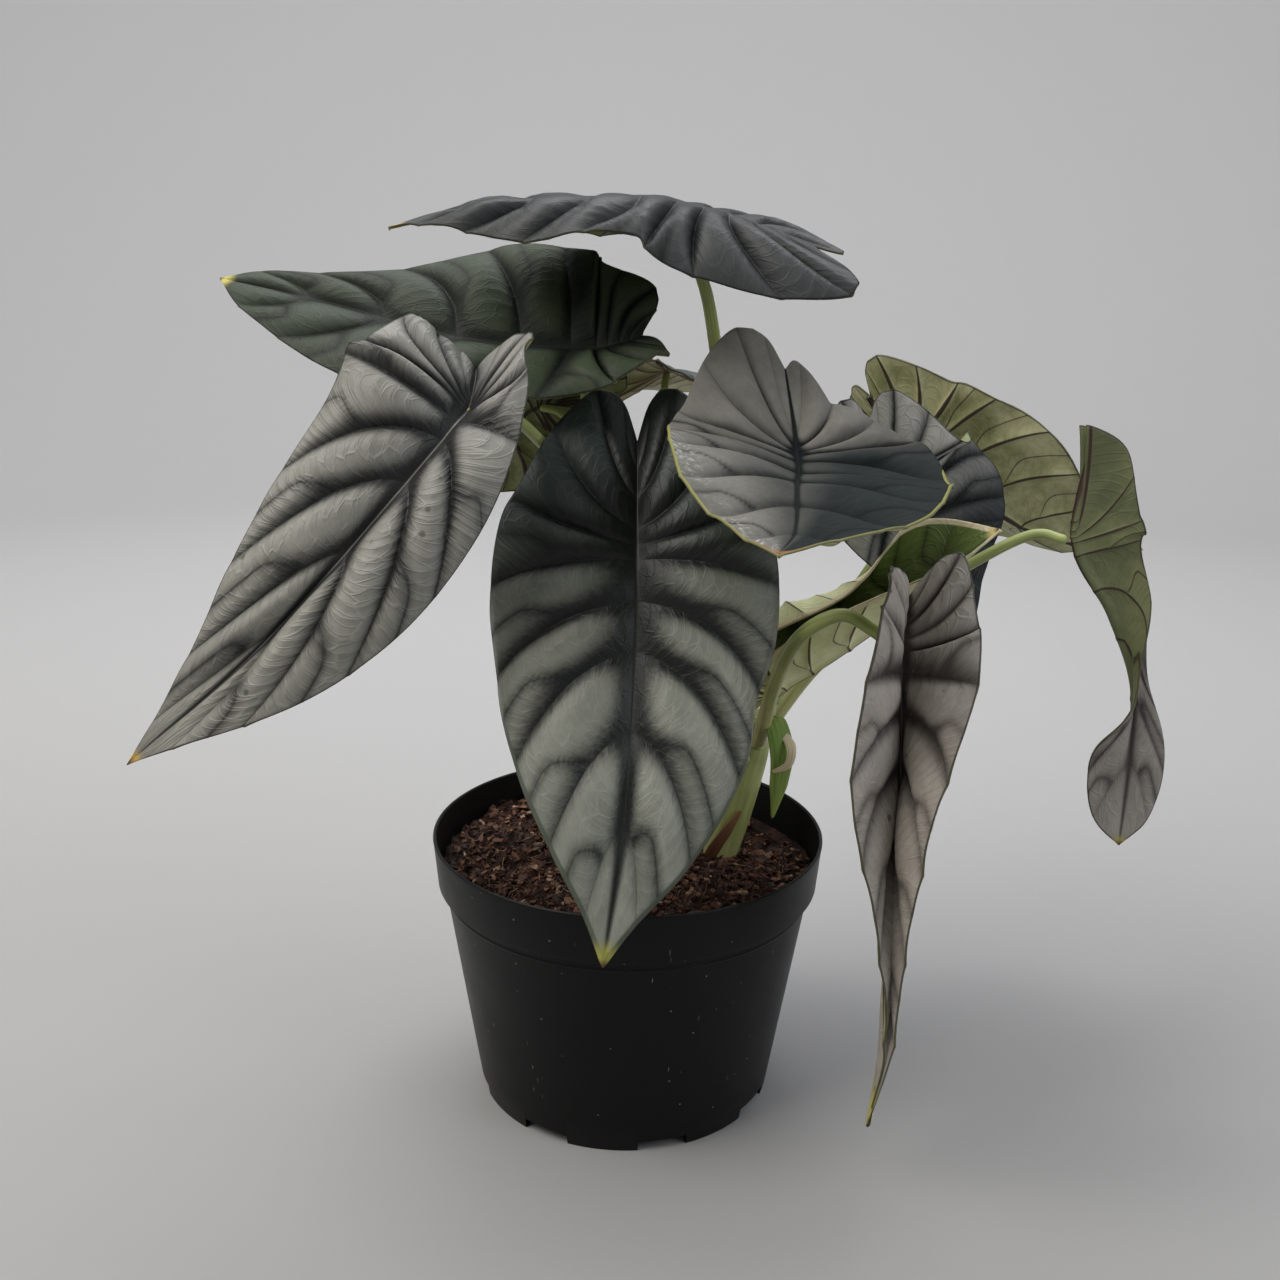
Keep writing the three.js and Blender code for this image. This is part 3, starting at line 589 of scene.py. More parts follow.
# Upper face: a waxy silver cuticle over dark green, satin, with a fine net of raised veinlets in
# cells of about 4 by 9 mm. The silver thins out in feathered edges along the veins.
def upper_face(name, look):
    """Silver panels on dark bands, yellow at the tip."""
    material, add, place = finish_for(name)
    net = add("UVMap", uv_map="net")
    dark, crisp, line, twig, branch, hem, tip, tone, calm = [
        add("Attribute", out="Fac", attribute_name=key)
        for key in ("dark", "crisp", "line", "twig", "branch", "hem", "tip", "tone", "calm")
    ]
    feather = add("Mapping", net, Scale=(36, 60, 1))
    feather = add("TexNoise", feather, Scale=1, Detail=4, Roughness=0.6, Distortion=0.4)
    mottle = add("TexNoise", place, Scale=46, Detail=5, Roughness=0.6)
    ragged = add("MapRange", feather, 0.25, 0.75, -0.09, 0.09)
    band = add("Math", dark, ragged)
    band = add("MapRange", band, look["soft"], 0.86, **SOFTLY)

    # The net: cells with wandering walls, and ladders of rungs across the panels.
    bent = add("Mapping", net, Scale=(9, 9, 1))
    bent = add("TexNoise", bent, Scale=1, Detail=1, out="Color", noise_dimensions="2D")
    cells = add("MixRGB", 0.03, net, bent, blend_type="ADD")
    cells = add("Mapping", cells, Scale=(26, 11, 1))
    cells = add(
        "TexVoronoi", cells, Scale=1, Randomness=0.85, feature="DISTANCE_TO_EDGE", voronoi_dimensions="2D",
    )
    cells = add("MapRange", cells, 0, 0.1, 1, 0, **SOFTLY)
    rungs = add("TexWave", net, Scale=5.2, Distortion=5, Detail=2.5, Detail_Scale=1.4, out="Fac")
    rungs = add("Math", rungs, calm, **TIMES)
    rung = add("MapRange", rungs, 0.88, 1, 0, 0.45, **SOFTLY)
    veinlet = add("Math", rung, cells, operation="MAXIMUM")
    veinlet = add("Math", veinlet, calm, **TIMES)

    # The panels, mottled and streaked, with their pale veinlets, and the dark bands over them.
    # The panels run from the near colour to the far colour by the tone, which is painted light and shade.
    shade = add("MixRGB", tone, look["near"], look["far"])
    grey = add("MapRange", mottle, 0.3, 0.7, 0.8, 1.14)
    streaky = add("MapRange", feather, 0.3, 0.7, 0.92, 1.07)
    grey = add("Math", grey, streaky, **TIMES)
    shade = add("MixRGB", 1, shade, grey, blend_type="MULTIPLY")
    pale = add("MapRange", tone, 0, 1, look["veinlet"] * look["veinlet_near"], look["veinlet"])
    pale = add("Math", veinlet, pale, **TIMES)
    shade = add("MixRGB", pale, shade, look["fine"])
    shade = add("MixRGB", band, shade, look["band"])

    # Hair lines in the grooves, the scurfy threads of the midrib, the dots, and the pale scuffs that are
    # partly painted sheen.
    sunk = add("MapRange", line, 0.15, 0.7, look["line"], 0)
    forked = add("Math", twig, operation="ABSOLUTE")
    forked = add("MapRange", forked, 0.12, 0.6, look["line"] * 0.8, 0)
    forked = add("Math", forked, branch, **TIMES)
    sunk = add("Math", sunk, forked, operation="MAXIMUM")
    shade = add("MixRGB", sunk, shade, "#121615")
    thread = add("MapRange", crisp, 0, 0.55, look["thread"], 0)
    thread = add("Math", thread, mottle, **TIMES)
    shade = add("MixRGB", thread, shade, look["thread_colour"])
    if look["dots"]:
        dot = add("TexVoronoi", place, Scale=look["dots"])
        dot = add("MapRange", dot, 0.06, 0.1, 0.75, 0)
        shade = add("MixRGB", dot, shade, "#3f433c")
    # Pale grey patches near the margin of the hub end, where the tone is low: partly wax scuffs, partly
    # painted sheen.
    if look["scuffs_and_sheen"]:
        worn = add("MapRange", hem, 16, 4, 0, look["scuffs_and_sheen"])
        for share in (
            add("MapRange", tone, 0, 1, 1, 0), add("MapRange", feather, 0.5, 0.66),
            add("MapRange", mottle, 0.45, 0.6),
        ):
            worn = add("Math", worn, share, **TIMES)
        shade = add("MixRGB", worn, shade, "#b9b9b5")

    # The hem, which dries up near the tip, then the yellow tip and its burnt point.
    piping = add("MapRange", tip, 12, 30, 1, 0)
    piping = add("MixRGB", piping, look["hem_colour"], look.get("hem_tip", look["hem_colour"]))
    hem = add("MapRange", hem, look["hem_mm"], look["hem_mm"] * 1.25, look["hem_show"], 0)
    ends = add("MapRange", tip, look["tip_mm"] * 0.35, look["tip_mm"], 1, 0, **SOFTLY)
    burnt = add("MapRange", tip, look["burnt"], look["burnt"] * 2 + 1, 1, 0)
    shade = add("MixRGB", hem, shade, piping)
    shade = add("MixRGB", ends, shade, look["tip_colour"])
    shade = add("MixRGB", burnt, shade, "#5f452c")
    rough = add("MapRange", mottle, 0, 1, look["rough"] - 0.08, look["rough"] + 0.12)
    bump = add("Bump", Height=rungs, Strength=look["rungs"], Distance=0.0009)
    bump = add("Bump", Height=veinlet, Strength=look["net"], Distance=0.0004, Normal=bump)
    bump = add("Bump", Height=feather, Strength=0.35, Distance=0.0004, Normal=bump)
    add(
        "BsdfPrincipled", Base_Color=shade, Roughness=rough, IOR=1.45, Normal=bump,
        Specular_IOR_Level=look["gloss"],
    )
    return material


# Lower face: matt pale to olive green without the wax. The veins stand proud, purple-brown, about
# 2 mm wide at the midrib and half that at the margin.
def lower_face(name, look):
    """Olive panels between purple-brown veins."""
    material, add, place = finish_for(name)
    net = add("UVMap", uv_map="net")
    dark, under, twig, branch, edge, tip, calm = [
        add("Attribute", out="Fac", attribute_name=key)
        for key in ("dark", "under", "twig", "branch", "edge", "tip", "calm")
    ]
    mottle = add("TexNoise", place, Scale=40, Detail=5, Roughness=0.62)
    fibre = add("Mapping", net, Scale=(70, 12, 1))
    fibre = add("TexNoise", fibre, Scale=1, Detail=4)
    cells = add("Mapping", net, Scale=(26, 11, 1))
    cells = add(
        "TexVoronoi", cells, Scale=1, Randomness=0.85, feature="DISTANCE_TO_EDGE", voronoi_dimensions="2D",
    )
    veinlet = add("MapRange", cells, 0, 0.12, 1, 0)
    veinlet = add("Math", veinlet, calm, **TIMES)
    patch = add("MapRange", mottle, 0.35, 0.65, **SOFTLY)
    shade = add("MixRGB", patch, look["back"], look["back_light"])
    faint = add("Math", dark, 0.35, **TIMES)
    thin = add("Math", veinlet, 0.1, **TIMES)
    cord = add("MapRange", under, 0.28, 0.55, 1, 0, **SOFTLY)
    forked = add("Math", twig, operation="ABSOLUTE")
    forked = add("MapRange", forked, 0.15, 0.4, 0.85, 0)
    forked = add("Math", forked, branch, **TIMES)
    cord = add("Math", cord, forked, operation="MAXIMUM")
    cord = add("Math", cord, 0.95, **TIMES)
    hem = add("MapRange", edge, look["back_hem_mm"], look["back_hem_mm"] * 1.5, 0.8, 0)
    ends = add("MapRange", tip, look["tip_mm"] * 0.35, look["tip_mm"] * 1.3, 1, 0, **SOFTLY)
    for cover, colour in (
        (faint, "back_deep"), (thin, "back_deep"), (cord, "vein"), (hem, "back_hem"), (ends, "tip_colour"),
    ):
        shade = add("MixRGB", cover, shade, look[colour])
    bump = add("Bump", Height=veinlet, Strength=0.5, Distance=0.0003)
    bump = add("Bump", Height=fibre, Strength=0.35, Distance=0.0004, Normal=bump)
    add("BsdfPrincipled", Base_Color=shade, Roughness=0.55, IOR=1.45, Normal=bump, Specular_IOR_Level=0.4)
    return material


# Cut edge of a blade, 0.8 mm thick: a firm dark line, yellow-green on the younger blades.
def cut_edge(name, colour):
    """The thin wall between the two faces."""
    material, add, place = finish_for(name)
    patchy = add("TexNoise", place, Scale=90, Detail=3)
    shade = add("MixRGB", patchy, colour, "#6a6a44")
    add("BsdfPrincipled", Base_Color=shade, Roughness=0.5, IOR=1.45)
    return material


# The twelve blades. Each station has a point of the midrib in mm, the way the upper face looks
# there, and for the left and the right half its width in mm, its rise and its curl in degrees.
# A stalk has its radius and its route. A pull has a side, a vein, its spread and a shift in mm.
LEAVES = {}
LEAVES["front_centre"] = dict(
    stations=[
        [[1, 8, 305], [0, -0.8, 0.45], [52, 20, -25], [54, 20, -25]],
        [[2, -36, 252], [0, -0.93, 0.35], [55, 22, -40], [57, 22, -40]],
        [[2, -56, 214], [0, -0.95, 0.25], [56, 15, -40], [58, 15, -40]],
        [[-1, -84, 158], [0, -1, 0.15], [56, 12, -35], [56, 12, -35]],
        [[-8, -100, 104], [0, -1, 0.1], [50, 10, -20], [50, 10, -20]],
    ],
    petiole=[2.6, [53, 14, 143], [36, 12, 180], [16, -2, 222], [5, -20, 252]],
    roots=[-0.68, -0.5, -0.3, -0.1, 0.0, 0.04, 0.14, 0.26, 0.45, 0.67, 1],
    margin={7: [0.77, 0.55], 8: [0.49, 0.74], 9: [0.19, 0.89]},
    pulled=[[-1, 6.1, 0.4, [-4, 0, 0]]],
    puff=1.2, hem=2.4, hem_from=6.2, band=1.4, fade=0.3, spine=1.35, turn=(-0.08, 0.28),
    look=dict(
        near="#27312e", far="#83867c", band="#0f1413", rough=0.44, veinlet_near=0.2, net=0.24, hem_mm=2.6,
        hem_show=0.85, hem_colour="#465040", tip_mm=13, tip_colour="#a3a24d", burnt=1.5,
    ),
)
LEAVES["left_front"] = dict(
    stations=[
        [[-60, -22, 322], [0, -0.5, 1], [24, 40, 0], [46, 40, -20]],
        [[-62, -46, 305], [-0.1, -0.8, 0.7], [26, 28, -30], [50, 42, -36]],
        [[-83, -64, 278], [-0.2, -0.95, 0.4], [36, 20, -40], [44, 25, -40]],
        [[-133, -80, 222], [-0.2, -0.95, 0.35], [43, 18, -40], [38, 18, -40]],
        [[-185, -84, 176], [-0.2, -0.95, 0.3], [38, 10, -20], [32, 10, -20]],
    ],
    petiole=[2.4, [50, 18, 136], [3, 22, 233], [-25, 12, 271], [-36, -6, 286], [-47, -30, 300]],
    roots=[-0.68, -0.16, -0.1, -0.05, 0, 0.04, 0.09, 0.2, 0.38, 0.6, 1],
    margin={1: [0.2, -0.93], 2: [0.45, -0.97], 3: [0.7, -0.78], 4: [0.89, -0.36], 5: [0.99, 0.06]},
    pulled=[[-1, 1.3, 0.9, [8, 0, 5]], [-1, 2.6, 0.9, [9, 2, 3]], [1, 1.3, 0.8, [1, 0, -4]]],
    lobes=[1, 1.2], puff=1.5, hollow=2.5, slant=0.6, band=1.05, fade=0.45,
    look=dict(
        near="#7e7e78", far="#85857d", band="#1f2020", line=0.75, soft=0.12, rough=0.5, fine="#b4b4ac",
        thread=0.7, thread_colour="#c4c3ba", rungs=0.24, dots=60, tip_mm=9, tip_colour="#c7a545", burnt=1.8,
    ),
)
LEAVES["upper_left"] = dict(
    stations=[
        [[12, 12, 332], [0, -0.55, 0.8], [30, 22, 0], [40, 25, 0]],
        [[-18, 14, 323], [0, -0.55, 0.8], [36, 18, -20], [46, 28, -10]],
        [[-69, 22, 325], [0, -0.55, 0.8], [38, 14, -20], [48, 24, -10]],
        [[-130, 40, 338], [0, -0.6, 0.8], [42, -5, -20], [30, 8, -10]],
        [[-183, 62, 347], [0, -0.6, 0.8], [32, -5, 0], [22, 10, 0]],
    ],
    petiole=[2.2, [51, 22, 140], [8, 28, 216], [-14, 26, 271], [-21, 22, 305]],
    roots=[-0.68, -0.52, -0.38, -0.22, -0.06, 0.05, 0.17, 0.33, 0.52, 0.73, 1],
    margin={1: [0.22, -0.95], 2: [0.46, -1], 3: [0.73, -0.72], 4: [0.92, -0.22],
            6: [0.96, 0.34], 7: [0.8, 0.55], 8: [0.56, 0.75], 9: [0.34, 0.9]},
    pulled=[[-1, 1.6, 1.1, [2, -2, -8]]],
    puff=1.5, wavy=0.3, band=1.1,
    look=dict(
        near="#36412f", far="#3d463c", band="#131a13", fine="#6c7569", veinlet=0.05, net=0.3, rough=0.55,
        gloss=0.25, tip_mm=10, tip_colour="#b9b05e",
    ),
)
LEAVES["top"] = dict(
    stations=[
        [[88, -22, 357], [0, -0.1, 1], [48, -36, -30], [44, 5, 40]],
        [[22, 4, 380], [0, -0.1, 1], [38, -22, -22], [46, -18, -15]],
        [[-13, 8, 382], [0, -0.1, 1], [31, -16, -15], [42, -16, -20]],
        [[-56, 10, 379], [0, -0.1, 1], [34, -28, -20], [38, -16, -20]],
        [[-99, 10, 369], [0, -0.1, 1], [30, -5, 0], [34, -5, 0]],
    ],
    petiole=[2.6, [53, 22, 147], [44, 34, 215], [37, 28, 294], [30, 18, 339], [22, 10, 364]],
    roots=[-0.68, -0.52, -0.36, -0.2, -0.06, 0.05, 0.17, 0.33, 0.52, 0.73, 1],
    lobes=[1, 0.7], puff=1.7, band=1.3,
    look=dict(
        near="#404344", far="#383b3c", band="#171b1c", fine="#6e7070", veinlet=0.04, net=0.2, line=0.35,
        rough=0.45, gloss=0.3, tip_mm=9, tip_colour="#c2b350",
    ),
)
LEAVES["centre_right"] = dict(
    stations=[
        [[58, 12, 332], [0, -0.8, 0.5], [50, 0, 0], [56, 10, 0]],
        [[63, -30, 288], [0, -0.6, 0.8], [54, 4, -20], [52, 15, -10]],
        [[58, -80, 283], [0, -0.2, 1], [58, 2, -10], [52, 10, 0]],
        [[53, -125, 276], [0, 0, 1], [72, -2, 10], [58, 0, 10]],
        [[44, -165, 277], [0, 0.1, 1], [86, 0, 0], [60, 0, 0]],
    ],
    petiole=[2.6, [56, 20, 152], [52, 30, 190], [54, 27, 225], [58, 4, 262], [61, -20, 284]],
    margin={6: [0.93, 0.33], 7: [0.74, 0.55], 8: [0.47, 0.76], 9: [0.2, 0.92]},
    lobes=[0.4, 1], puff=1.3, turned=6, hem_from=4.5, band=0.8, bold=0.78, fade=0.6, spine=0.35,
    turn=(-0.3, 0.22), painted_shade_side=-1,
    look=dict(
        back="#a2a26d", back_light="#c3c191", near="#706f6a", far="#262b2c", band="#171b1c", fine="#5a5c5a",
        veinlet=0.05, net=0.15, line=0.4, rungs=0.08, scuffs_and_sheen=0.7, hem_mm=0.9, hem_show=1,
        hem_colour="#84834f", hem_tip="#8e6148", tip_mm=6, tip_colour="#9a6b50", rough=0.75, gloss=0.04,
    ),
)
LEAVES["mid_right"] = dict(
    stations=[
        [[99, 44, 303], [0, -0.85, 0.5], [40, 10, -20], [34, 10, -20]],
        [[108, 38, 266], [0, -0.85, 0.5], [47, 10, -20], [30, 15, -20]],
        [[126, 40, 243], [0, -0.85, 0.5], [52, 10, -20], [28, 10, -20]],
        [[143, 42, 221], [0, -0.85, 0.5], [62, 10, -20], [28, 10, -20]],
        [[156, 44, 207], [0, -0.85, 0.5], [66, 0, 0], [30, 0, 0]],
    ],
    petiole=[2.3, [56, 24, 148], [82, 34, 188], [108, 46, 222], [114, 47, 250]],
    look=dict(
        near="#a2a19b", far="#33383a", band="#232628", fine="#5f605c", gloss=0.15, tip_mm=4,
        tip_colour="#3b3528",
    ),
)
LEAVES["rolled"] = dict(
    stations=[
        [[48, 7, 170], [-0.3, -0.1, 0.9], [34, 20, 110], [20, 20, 60]],
        [[61, 4, 180], [-0.3, -0.1, 0.9], [54, 20, 190], [28, 20, 60]],
        [[84, -2, 197], [-0.3, -0.1, 0.9], [60, 20, 205], [32, 20, 60]],
        [[112, -12, 223], [-0.4, -0.1, 0.9], [50, 20, 240], [36, 20, 60]],
        [[146, -22, 258], [-0.4, -0.1, 0.9], [105, 20, 330], [70, 10, 60]],
    ],
    petiole=[3.4, [56, 15, 152], [60, 12, 166]],
    puff=0.45, wavy=0.3,
    look=dict(
        back="#cdcf98", back_light="#e6e6ba", back_deep="#a5ab6c", vein="#4b3322", back_hem="#dcc9a8",
        back_hem_mm=2.2, near="#5b6b34", far="#62733a", band="#3c4a24", fine="#5d7434", hem_mm=2,
        hem_show=0.95, hem_colour="#dccfae", tip_colour="#c6b878", rough=0.32, gloss=0.55,
    ),
)
LEAVES["back_right"] = dict(
    stations=[
        [[100, 86, 310], [-0.1, 0.9, 0.4], [40, 45, 0], [40, -5, 0]],
        [[128, 88, 276], [-0.1, 0.9, 0.4], [40, 45, 0], [42, -5, 0]],
        [[163, 92, 251], [-0.1, 0.9, 0.4], [38, 45, 0], [49, -5, 0]],
        [[202, 98, 231], [0, 0.9, 0.4], [36, 45, 0], [52, -5, 0]],
        [[250, 104, 225], [0, 0.9, 0.4], [30, 30, 0], [60, -5, 0]],
    ],
    petiole=[2.3, [56, 28, 146], [84, 46, 190], [112, 64, 226], [126, 78, 256]],
    lobes=[0.75, 1],
    look=dict(
        back="#8f9063", back_light="#cfcda2", near="#7f807a", far="#8a8a84", band="#2d3231", tip_mm=14,
    ),
)
LEAVES["right_hanging"] = dict(
    stations=[
        [[110, -34, 244], [0, -0.9, 0.3], [26, 30, 0], [26, 62, 0]],
        [[105, -50, 214], [0, -1, 0.2], [32, 34, 0], [35, 62, 0]],
        [[105, -64, 163], [0, -1, 0.1], [35, 76, 0], [38, 50, 0]],
        [[102, -74, 109], [0, -1, 0.1], [33, 80, 0], [34, 72, 0]],
        [[102, -80, 64], [0, -1, 0.1], [33, 78, 0], [30, 84, 0]],
        [[98, -84, 27], [-0.3, -1, 0.1], [30, 60, 0], [30, 90, 0]],
    ],
    petiole=[2.7, [56, 6, 155], [60, -20, 193], [67, -38, 217], [81, -46, 228], [94, -46, 222]],
    roots=[-0.68, -0.5, -0.34, -0.18, -0.03, 0.04, 0.12, 0.23, 0.37, 0.56, 1],
    margin={1: [0.24, -0.96], 2: [0.52, -1], 3: [0.8, -0.74], 4: [0.96, -0.28], 5: [1, 0.08],
            6: [0.98, 0.25], 7: [0.89, 0.41], 8: [0.68, 0.6], 9: [0.38, 0.79]},
    pulled=[[-1, 2, 1.2, [5, 0, 7]], [1, 2, 1.2, [-5, 0, -3]]],
    puff=1.6, wavy=0.35, hollow=0.2, rib=0.5, band=1.1, bold=0.95, spine=0.3,
    look=dict(
        back="#8c8f62", back_light="#a8a983", near="#a29b93", far="#a09990", band="#504a46", line=0.2,
        rungs=0.2, thread=0.5, dots=60, rough=0.5, tip_mm=26, tip_colour="#b3ab68",
    ),
)
LEAVES["far_right"] = dict(
    stations=[
        [[190, 8, 297], [1, 0, 0.1], [27, 70, 0], [29, 70, 0]],
        [[182, 0, 250], [1, 0.1, 0.1], [30, 75, 0], [30, 75, 0]],
        [[199, -4, 219], [1, 0, 0.1], [18, 75, 0], [18, 75, 0]],
        [[211, -6, 190], [0.7, -0.7, 0.1], [8, 50, 0], [8, 50, 0]],
        [[214, -6, 158], [0, -1, 0.1], [22, 10, -20], [25, 10, -20]],
        [[214, -6, 116], [0, -1, 0.1], [34, 0, 0], [42, 0, 0]],
    ],
    petiole=[2.4, [57, 20, 151], [84, 26, 187], [117, 24, 214], [144, 16, 235], [167, 8, 250]],
    margin={1: [0.3, -0.84], 2: [0.37, -1], 3: [0.62, -0.72], 6: [0.97, 0.34], 7: [0.82, 0.56],
            8: [0.6, 0.76], 9: [0.34, 0.91]},
    pulled=[[1, 1.9, 0.4, [-15, 0, 1]], [-1, 1.9, 0.4, [-15, 0, 1]],
            [1, 2.9, 0.6, [0, 0, -4]], [-1, 2.9, 0.6, [0, 0, -4]]],
    puff=0.25, wavy=0.5, hollow=0, rib=0.4, band=0.8,
    look=dict(
        back="#545a3e", back_light="#6d724f", near="#8a857f", far="#96918a", band="#46413e", line=0.4,
        tip_mm=6,
    ),
)
LEAVES["left_behind"] = dict(
    stations=[
        [[-3, 42, 300], [0.1, 0.9, 0.4], [34, 0, 0], [38, -10, 0]],
        [[-41, 40, 297], [0.1, 0.9, 0.4], [32, 0, 0], [40, -10, 0]],
        [[-54, 42, 284], [0.1, 0.9, 0.4], [36, -10, 0], [33, -10, 0]],
        [[-69, 46, 270], [0.1, 0.9, 0.4], [36, -10, 0], [28, -10, 0]],
        [[-85, 50, 257], [0.1, 0.9, 0.4], [36, 0, 0], [28, 0, 0]],
    ],
    petiole=[1.9, [51, 26, 141], [8, 44, 228], [-17, 38, 277], [-30, 34, 293]],
    look=dict(near="#6f716b", far="#7a7b75", band="#2b302f"),
)
LEAVES["back_centre"] = dict(
    stations=[
        [[7, 34, 319], [0.2, -0.2, 1], [34, -40, 0], [18, -10, 0]],
        [[14, 52, 313], [0.2, -0.2, 1], [38, -50, 0], [20, -10, 0]],
        [[30, 86, 307], [0.2, -0.2, 1], [40, -30, 0], [36, -10, 0]],
        [[44, 118, 298], [0.2, -0.2, 1], [40, -20, 0], [40, -10, 0]],
        [[58, 150, 286], [0.2, -0.2, 1], [40, 0, 0], [40, 0, 0]],
    ],
    petiole=[1.8, [54, 27, 143], [37, 46, 210], [20, 50, 269], [13, 50, 299]],
    rib=0.5,
    look=dict(
        back="#a09a72", back_light="#b8b490", vein="#5d3a2b", near="#3f4a46", far="#4a5450", band="#222b29",
    ),
)
for name, leaf in LEAVES.items():
    look = {**USUAL_LOOK, **leaf["look"]}
    piece = blade("blade_" + name, {**USUAL_LEAF, **leaf}, [
        upper_face("silver_cuticle_" + name, look), lower_face("olive_underside_" + name, look),
        cut_edge("blade_edge_" + name, leaf["look"].get("hem_colour", "#2a2a20")),
    ])
    belongs(piece, "leaf", "leaf_" + name)


# Leaf stalks, stem and bracts: smooth fleshy green tubes. Each stalk sheathes the next at its
# foot, with a shallow channel on its inner side, and runs on under its blade as the midrib.
STALK_STEPS = 70
STALK_SIDES = 22


def stalk(name, route, half_sizes, across=(0, -1, 0.2), channel=0.0, drop=(0, 0, 0)):
    """A tube along a route, with the tone and the lengthwise map that its finish reads."""
    t = np.linspace(0, 1, STALK_STEPS + 1)
    ahead = unit(through(route, np.minimum(t + 1e-3, 1)) - through(route, np.maximum(t - 1e-3, 0)))
    line = through(route, t) - np.asarray(drop) * smooth(0.8, 1.0, t)[:, None]
    lengths = np.concatenate([[0], np.cumsum(np.linalg.norm(np.diff(line, axis=0), axis=1))])
    angles = np.linspace(0, 2 * np.pi, STALK_SIDES, endpoint=False)
    ends = 1 - 0.5 * np.maximum(0, (np.abs(2 * t - 1) - 0.985) / 0.015) ** 2
    wide, thick = (ends * np.interp(t, np.linspace(0, 1, len(sizes)), sizes) for sizes in zip(*half_sizes))
    depth = channel * (1 - smooth(0.1, 0.5, t))
    groove = np.exp(-((angles - np.pi) / 0.55) ** 2)
    a = np.asarray(across, float)
    rings = []
    for i in range(STALK_STEPS + 1):
        a = unit(a - ahead[i] * np.dot(a, ahead[i]))
        b = np.cross(ahead[i], a)
        out = np.outer(np.cos(angles) * wide[i] * (1 - depth[i] * groove), a)
        rings.append(line[i] + out + np.outer(np.sin(angles) * thick[i], b))
    points = [*np.concatenate(rings), rings[0].mean(axis=0), rings[-1].mean(axis=0)]
    faces, lengthwise = [], []
    for j in range(STALK_SIDES):
        k = (j + 1) % STALK_SIDES
        first, second = (6 * math.pi * side / STALK_SIDES for side in (j, j + 1))
        hub = 6 * math.pi * (2 * j >= STALK_SIDES)
        for i in range(STALK_STEPS):
            here, there = i * STALK_SIDES, (i + 1) * STALK_SIDES
            faces.append((here + j, here + k, there + k, there + j))
            lengthwise += [(first, lengths[i]), (second, lengths[i])]
            lengthwise += [(second, lengths[i + 1]), (first, lengths[i + 1])]
        faces += [(k, j, len(points) - 2), (there + j, there + k, len(points) - 1)]
        lengthwise += [(second, 0), (first, 0), (hub, 0)]
        lengthwise += [(around, lengths[-1]) for around in (first, second, hub)]
    made = from_points(name, points, faces)
    made.data.shade_smooth()
    run = [*np.repeat(t, STALK_SIDES), 0.0, 1.0]
    made.data.attributes.new("run", "FLOAT", "POINT").data.foreach_set("value", run)
    made.data.uv_layers.new(name="lengthwise").data.foreach_set("uv", np.ravel(lengthwise) / 100)
    return made


# Living stalk: a smooth, slightly waxy yellow-green skin with fine lengthwise streaks under 1 mm
# wide, paler at the foot. Dry bracts use the same build with papery tan colours.
def stalk_skin(name, foot, middle, top, rough=0.4, streak=0.25):
    """Lengthwise streaked skin with its colour changing from foot to top."""
    material, add, place = finish_for(name)
    run = add("Attribute", out="Fac", attribute_name="run")
    tone = add("ValToRGB", run, stops=[(0, foot), (0.4, middle), (1, top)])
    lines = add("Mapping", add("UVMap", uv_map="lengthwise"), Scale=(110, 4, 1))
    lines = add("TexNoise", lines, Scale=1, Detail=3)
    blotch = add("TexNoise", place, Scale=70, Detail=4)
    both = add("MapRange", lines, 0.3, 0.7, 1 - streak, 1 + streak / 2)
    spot = add("MapRange", blotch, 0.3, 0.7, 0.85, 1.1)
    both = add("Math", both, spot, **TIMES)
    shade = add("MixRGB", 1, tone, both, blend_type="MULTIPLY")
    bump = add("Bump", Height=lines, Strength=0.3, Distance=0.0003)
    add("BsdfPrincipled", Base_Color=shade, Roughness=rough, IOR=1.45, Normal=bump, Specular_IOR_Level=0.4)
    return material


stem = stalk("stem", [[37, 13, 88], [40, 14, 100], [48, 16, 122], [55, 18, 147], [58, 17, 163]],
             [[10, 10], [9.5, 9.5], [8, 8], [7, 7], [5, 5]])
stem.data.materials.append(stalk_skin("stem_skin_sheathed", "#a0956a", "#99a062", "#a0a86a"))
belongs(stem, "green_stalk", "stem")
green = stalk_skin("stalk_skin_waxy", "#b9b683", "#98a263", "#9aa66a")
for name, leaf in LEAVES.items():
    radius, *route = leaf["petiole"]
    before, hub, after = leaf["stations"][:3]
    ahead = unit(np.subtract(after[0], before[0]).astype(float))
    above = np.asarray(hub[1], float)
    above = unit(above - ahead * np.dot(above, ahead))
    half_sizes = [[1.25 * radius] * 2, [0.85 * radius] * 2]
    piece = stalk("petiole_" + name, [*route, hub[0]], half_sizes, channel=0.3,
                  drop=above * (radius * 0.85 + 0.3))
    piece.data.materials.append(green)
    belongs(piece, "green_stalk", "petiole_" + name)

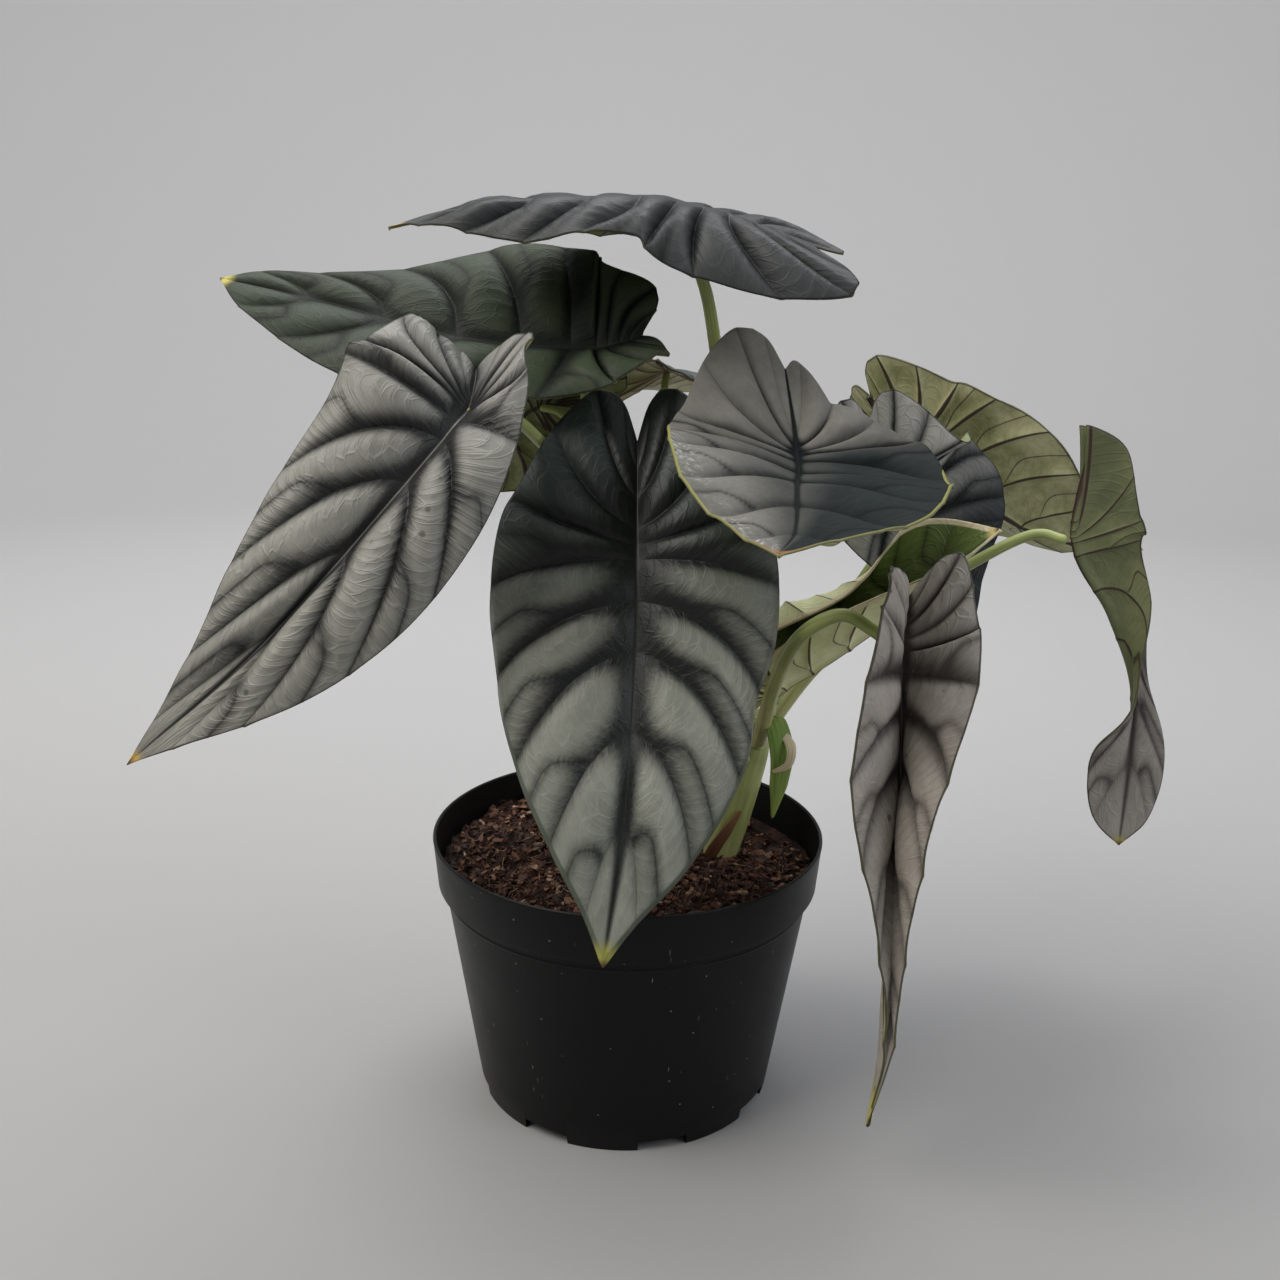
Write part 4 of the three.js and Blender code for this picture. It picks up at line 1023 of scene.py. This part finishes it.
# Bracts: the narrow green one in front of the crown, the brown split sheath at the stem's foot and
# the papery tan curl. Each has the way it is flat, its route, its half sizes in mm and its colours.
BRACTS = {
    "cataphyll": (
        (1, 0.2, 0), [[59, 12, 166], [62, -1, 169], [65, -9, 158], [64, -11, 143], [62, -11, 128]],
        [[3, 0.6], [5.2, 0.7], [5.6, 0.7], [4.2, 0.6], [0.6, 0.4]],
        ("#8f9a55", "#6f8d3d", "#8a9a4a"), "green_stalk",
    ),
    "dry_sheath": (
        (0.9, 0.1, -0.4), [[34, 3, 98], [38, 3.5, 106], [44, 5, 115], [50, 7, 124]],
        [[2.4, 0.7], [3, 0.7], [2.4, 0.6], [0.8, 0.4]], ("#3f2417", "#5d3722", "#8a6442"), "dry_bract",
    ),
    "dry_curl": (
        (0.3, 1, 0), [[60, 10, 158], [64.5, -2, 164], [68.5, -11, 161], [67.5, -14, 154], [61, -13, 150]],
        [[1.0, 0.4], [1.7, 0.4], [2.1, 0.4], [1.7, 0.4], [0.7, 0.3]],
        ("#c9b08c", "#eadfc2", "#dcc8a0"), "dry_bract",
    ),
}
for name, (across, route, half_sizes, colours, slot) in BRACTS.items():
    piece = stalk("bract_" + name, route, half_sizes, across)
    piece.data.materials.append(stalk_skin("bract_skin_" + name, *colours, rough=0.6, streak=0.45))
    belongs(piece, slot, name)


# Studio: a pale grey floor that curves up into the wall all round, lit by large soft lights.
FLOOR_RADIUS = 1500
SWEEP_RADIUS = 900
floor_rings = [(20, 0), (FLOOR_RADIUS, 0)]
for i in range(1, 17):
    angle = math.radians(90 * i / 16)
    floor_rings.append((FLOOR_RADIUS + SWEEP_RADIUS * math.sin(angle), SWEEP_RADIUS * (1 - math.cos(angle))))
floor_rings.append((FLOOR_RADIUS + SWEEP_RADIUS, 3200))
floor = ringed("studio_floor", floor_rings, 96, closed=False)
floor.data.shade_smooth()
paper, add, _ = finish_for("studio_paper_pale_grey")
add("BsdfPrincipled", Base_Color="#969696", Roughness=0.8)
floor.data.materials.append(paper)

world = bpy.data.worlds.new("studio_air")
bpy.context.scene.world = world
world.use_nodes = True
world.node_tree.nodes["Background"].inputs["Color"].default_value = linear("#dfe2e6")
world.node_tree.nodes["Background"].inputs["Strength"].default_value = 0.43


def softbox(name, place, target, size, power, colour):
    """A square soft light that faces its target."""
    light = bpy.data.lights.new(name, "AREA")
    light.shape = "SQUARE"
    light.size = size
    light.energy = power
    light.color = linear(colour)[:3]
    made = bpy.data.objects.new(name, light)
    made.location = place
    made.rotation_mode = "QUATERNION"
    made.rotation_quaternion = (Vector(target) - Vector(place)).to_track_quat("-Z", "Y")
    bpy.context.scene.collection.objects.link(made)


softbox("key_left", (-1.2, -0.5, 1.8), (0, 0, 0.25), 1.5, 42, "#fffaf2")
softbox("fill_right", (1.5, -0.7, 1.2), (0, 0, 0.2), 1.2, 14, "#f6f8ff")
softbox("top_back", (0.1, 1.0, 2.1), (0, 0.3, 0.2), 1.4, 13, "#ffffff")
softbox("wall_wash", (0.0, 0.7, 1.7), (0, 2.2, 0.5), 1.6, 38, "#fbfbff")

# The camera stands 0.56 m in front of the pot's axis and looks down by 15.9 degrees.
camera = bpy.data.objects.new("camera", bpy.data.cameras.new("camera"))
camera.data.lens = 38.59
camera.data.sensor_width = 36
camera.matrix_world = (
    Matrix.Translation((0.0038, -0.558, 0.3625))
    @ Matrix.Rotation(math.radians(90 - 15.9), 4, "X") @ Matrix.Rotation(math.radians(1.0), 4, "Z")
)
bpy.context.scene.collection.objects.link(camera)
bpy.context.scene.camera = camera
bpy.context.scene.view_settings.view_transform = "Standard"
